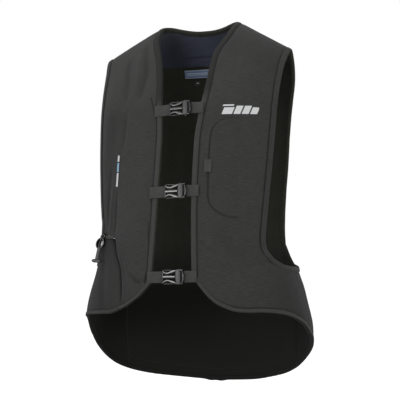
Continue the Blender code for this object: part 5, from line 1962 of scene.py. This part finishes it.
    def build_marks(self) -> None:
        """Flap, tab, reflective patches and labels."""
        left, right = self.panels["left_front_panel"], self.panels["right_front_panel"]
        flap = Flap("access_flap", oblong(FLAP_INNER, FLAP_INNER + FLAP_WIDTH, FLAP_TOP,
                                          FLAP_TOP - FLAP_HEIGHT),
                    (110, 60), (0.0003, 0.0014), left, 0.0026)
        self.add_mark(flap, self.cloths.shell, "shell_cloth",
                      (FLAP_WIDTH * 1.08, FLAP_HEIGHT), "laid", left.name)
        tab = Patch("flap_pull_tab", oblong(0.054, 0.0665, -0.236, -0.2575), (24, 16),
                    (0.0022, 0.0015), left)
        self.add_mark(tab, self.cloths.webbing, "webbing", (0.0126, 0.0216), "laid", flap.name)
        bars = ((0.0, 0.3, 0.0, 0.16), (0.06, 0.34, 0.3, 1.0), (0.38, 0.56, 0.16, 1.0),
                (0.6, 0.78, 0.16, 1.0), (0.82, 1.0, 0.3, 1.0))
        chest = BarMark("chest_reflective_patch", oblong(0.078, 0.14, -0.1395, -0.1565),
                        (50, 150), (0.0003, 0.0003), left, bars=bars, slant=0.1)
        self.add_mark(chest, self.cloths.film, "reflective_film", (0.064, 0.0171), "laid",
                      left.name)
        bars = ((0.2, 0.8, 0.0, 0.2), (0.2, 0.8, 0.24, 0.52), (0.2, 0.8, 0.56, 1.0))
        strip = BarMark("side_strip", ((-0.119, -0.2228), (-0.1125, -0.2228), (-0.1145, -0.2795),
                                       (-0.121, -0.2795)), (140, 24), (0.0003, 0.0003), right,
                        bars=bars, tinted=(0.2, 0.54))
        self.keep(strip.build(self.cloths.film), "reflective_film", strip.name)
        bars = ((0.0, 1.0, 0.0, 0.1), (0.0, 1.0, 0.93, 1.0), (0.08, 0.92, 0.34, 0.44),
                (0.08, 0.92, 0.56, 0.63))
        label = BarMark("neck_label", oblong(-0.059, -0.005, -0.04, -0.056), (40, 90),
                        (-0.0088, 0.0006), bars=bars, inside=True)
        self.add_mark(label, self.cloths.label, "label_cloth", (0.056, 0.018), "hung",
                      "back_lining")
        size = BarMark("size_tab", oblong(-0.039, -0.027, -0.0618, -0.0718), (24, 24),
                       (-0.0083, 0.0006), bars=((0.3, 0.7, 0.35, 0.55),), inside=True)
        self.add_mark(size, self.cloths.tab, "label_cloth", (0.0121, 0.0102), "hung",
                      "back_lining")
        row = FORM.place(*flap.inner_line(0.0042))
        self.seams.append(FORM.point(*row) + FORM.frame(*row)[0] * 0.0032)

    def build(self) -> None:
        """Build every piece of the vest and log its cloth."""
        self.build_fronts()
        self.build_back()
        self.build_sides()
        self.build_bindings()
        self.build_marks()
        for row in (("top", -0.1436, 0.0047), ("middle", -0.289, 0.0039),
                    ("bottom", -0.4363, 0.004)):
            closure = Closure(*row)
            male, female, right, left = closure.build(self.cloths)
            self.keep(male, "buckle_plastic", f"{closure.name}_buckle_male")
            self.keep(female, "buckle_plastic", f"{closure.name}_buckle_female")
            for strap, side, length in ((right, Side.RIGHT, 0.0385), (left, Side.LEFT, 0.0255)):
                self.keep(strap, "webbing", f"{closure.name}_strap_{side.word}_side")
                self.lay(strap, (0.0205, length), "stretched", f"{side.word}_front_panel")
        fitting, strap = Trigger().build(self.cloths)
        self.keep(fitting, "buckle_plastic", "trigger_fitting")
        self.keep(strap, "webbing", "trigger_strap")
        rows = StitchRow("seam_stitches").build(self.seams, self.cloths.thread)
        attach(rows, "root")


@dataclass(frozen=True)
class Studio:
    """White product-photo studio: floor, backdrop, soft lights and the camera.

    Args:
        azimuth: turn of the camera round the vest in degrees.
        distance: its distance in metres.
        height: its height in metres.
        focal: focal length in pixels of the frame.
        frame: width of the frame in pixels.
        column: column of the optical axis.
        row: row of the horizon.
        floor_height: height of the floor in metres.
    """

    azimuth: float = 20.0
    distance: float = 1.55
    height: float = -0.3355
    focal: float = 830.0
    frame: float = 400.0
    column: float = 197.0
    row: float = 218.0
    floor_height: float = -0.9

    @staticmethod
    def stage(name: str, nodes: NodeTree, material: bpy.types.Material,
              shader: bpy.types.Node) -> bpy.types.Object:
        """Dress the newest object as staging that throws no light on the vest."""
        nodes.add("ShaderNodeOutputMaterial", None, Surface=shader)
        piece = bpy.context.object
        piece.name = name
        piece.data.materials.append(material)
        piece.visible_diffuse = False
        piece.visible_glossy = False
        return piece

    def floor(self) -> None:
        """Plain white floor well under the hanging vest."""
        bpy.ops.mesh.primitive_plane_add(size=60.0, location=(0.0, 0.0, self.floor_height))
        material, nodes = start_material("white studio floor paint")
        shader = nodes.add("ShaderNodeBsdfPrincipled", None, Base_Color=(0.95, 0.95, 0.95, 1.0),
                           Roughness=0.9, Emission_Color=(1.0, 1.0, 1.0, 1.0),
                           Emission_Strength=0.6)
        self.stage("studio_floor", nodes, material, shader)

    def backdrop(self) -> None:
        """White paper all round, lit evenly."""
        bpy.ops.mesh.primitive_uv_sphere_add(segments=48, ring_count=24, radius=25.0)
        material, nodes = start_material("white studio backdrop paper")
        glow = nodes.add("ShaderNodeEmission", None, Color=(1.0, 1.0, 1.0, 1.0), Strength=1.0)
        self.stage("studio_backdrop", nodes, material, glow).visible_shadow = False

    def light(self, name: str, place: Sequence[float], aim: Sequence[float], size: float,
              power: float, shine: bool = False) -> None:
        """Add a square softbox.

        Args:
            name: name of the lamp.
            place: where it stands.
            aim: what it looks at.
            size: length of its side in metres.
            power: its power in watts.
            shine: true for a card that shows only in shiny surfaces.
        """
        lamp = bpy.data.lights.new(name, "AREA")
        lamp.shape = "SQUARE"
        lamp.size = size
        lamp.energy = power
        box = link_object(name, lamp)
        box.location = place
        look = Vector(aim) - Vector(place)
        box.rotation_euler = look.to_track_quat("-Z", "Y").to_euler()
        box.visible_diffuse = not shine

    def world(self) -> None:
        """Even white surround."""
        world = bpy.data.worlds.new("white studio surround")
        bpy.context.scene.world = world
        world.use_nodes = True
        nodes = NodeTree(world.node_tree)
        back = nodes.add("ShaderNodeBackground", None, Color=linear(Tone.STUDIO.value),
                         Strength=0.5)
        nodes.add("ShaderNodeOutputWorld", None, Surface=back)

    def camera(self) -> None:
        """Camera at the photograph's place, level, with a small shift for its framing."""
        turn = math.radians(self.azimuth)
        data = bpy.data.cameras.new("photo_camera")
        data.sensor_width = 36.0
        data.lens = self.focal / self.frame * 36.0
        data.shift_x = (self.frame / 2 - self.column) / self.frame
        data.shift_y = (self.row - self.frame / 2) / self.frame
        data.clip_start, data.clip_end = 0.05, 100.0
        camera = link_object("photo_camera", data)
        camera.location = (self.distance * math.sin(turn), -self.distance * math.cos(turn),
                           self.height)
        camera.rotation_euler = (math.pi / 2, 0.0, turn)
        bpy.context.scene.camera = camera

    def build(self) -> None:
        """Set up the whole studio."""
        self.floor()
        self.backdrop()
        self.world()
        self.light("key softbox", (-1.1, -2.2, 0.9), (0.0, 0.0, -0.3), 1.4, 14.0)
        self.light("fill softbox", (2.0, -1.8, -0.1), (0.0, 0.0, -0.3), 1.6, 12.5)
        self.light("top softbox", (0.0, -0.3, 1.6), (0.0, 0.0, -0.2), 1.2, 5.0)
        self.light("shine card", (-0.62, -1.55, -0.15), (0.0, 0.0, -0.3), 0.6, 15.0, True)
        self.camera()
        view = bpy.context.scene.view_settings
        view.view_transform = "Standard"


def main() -> None:
    """Build the vest and its studio."""
    logging.basicConfig(level=logging.INFO, format="%(message)s")
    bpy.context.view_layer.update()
    cloths = Cloths()
    vest = Vest(cloths)
    vest.build()
    Studio().build()


if __name__ == "__main__":
    main()
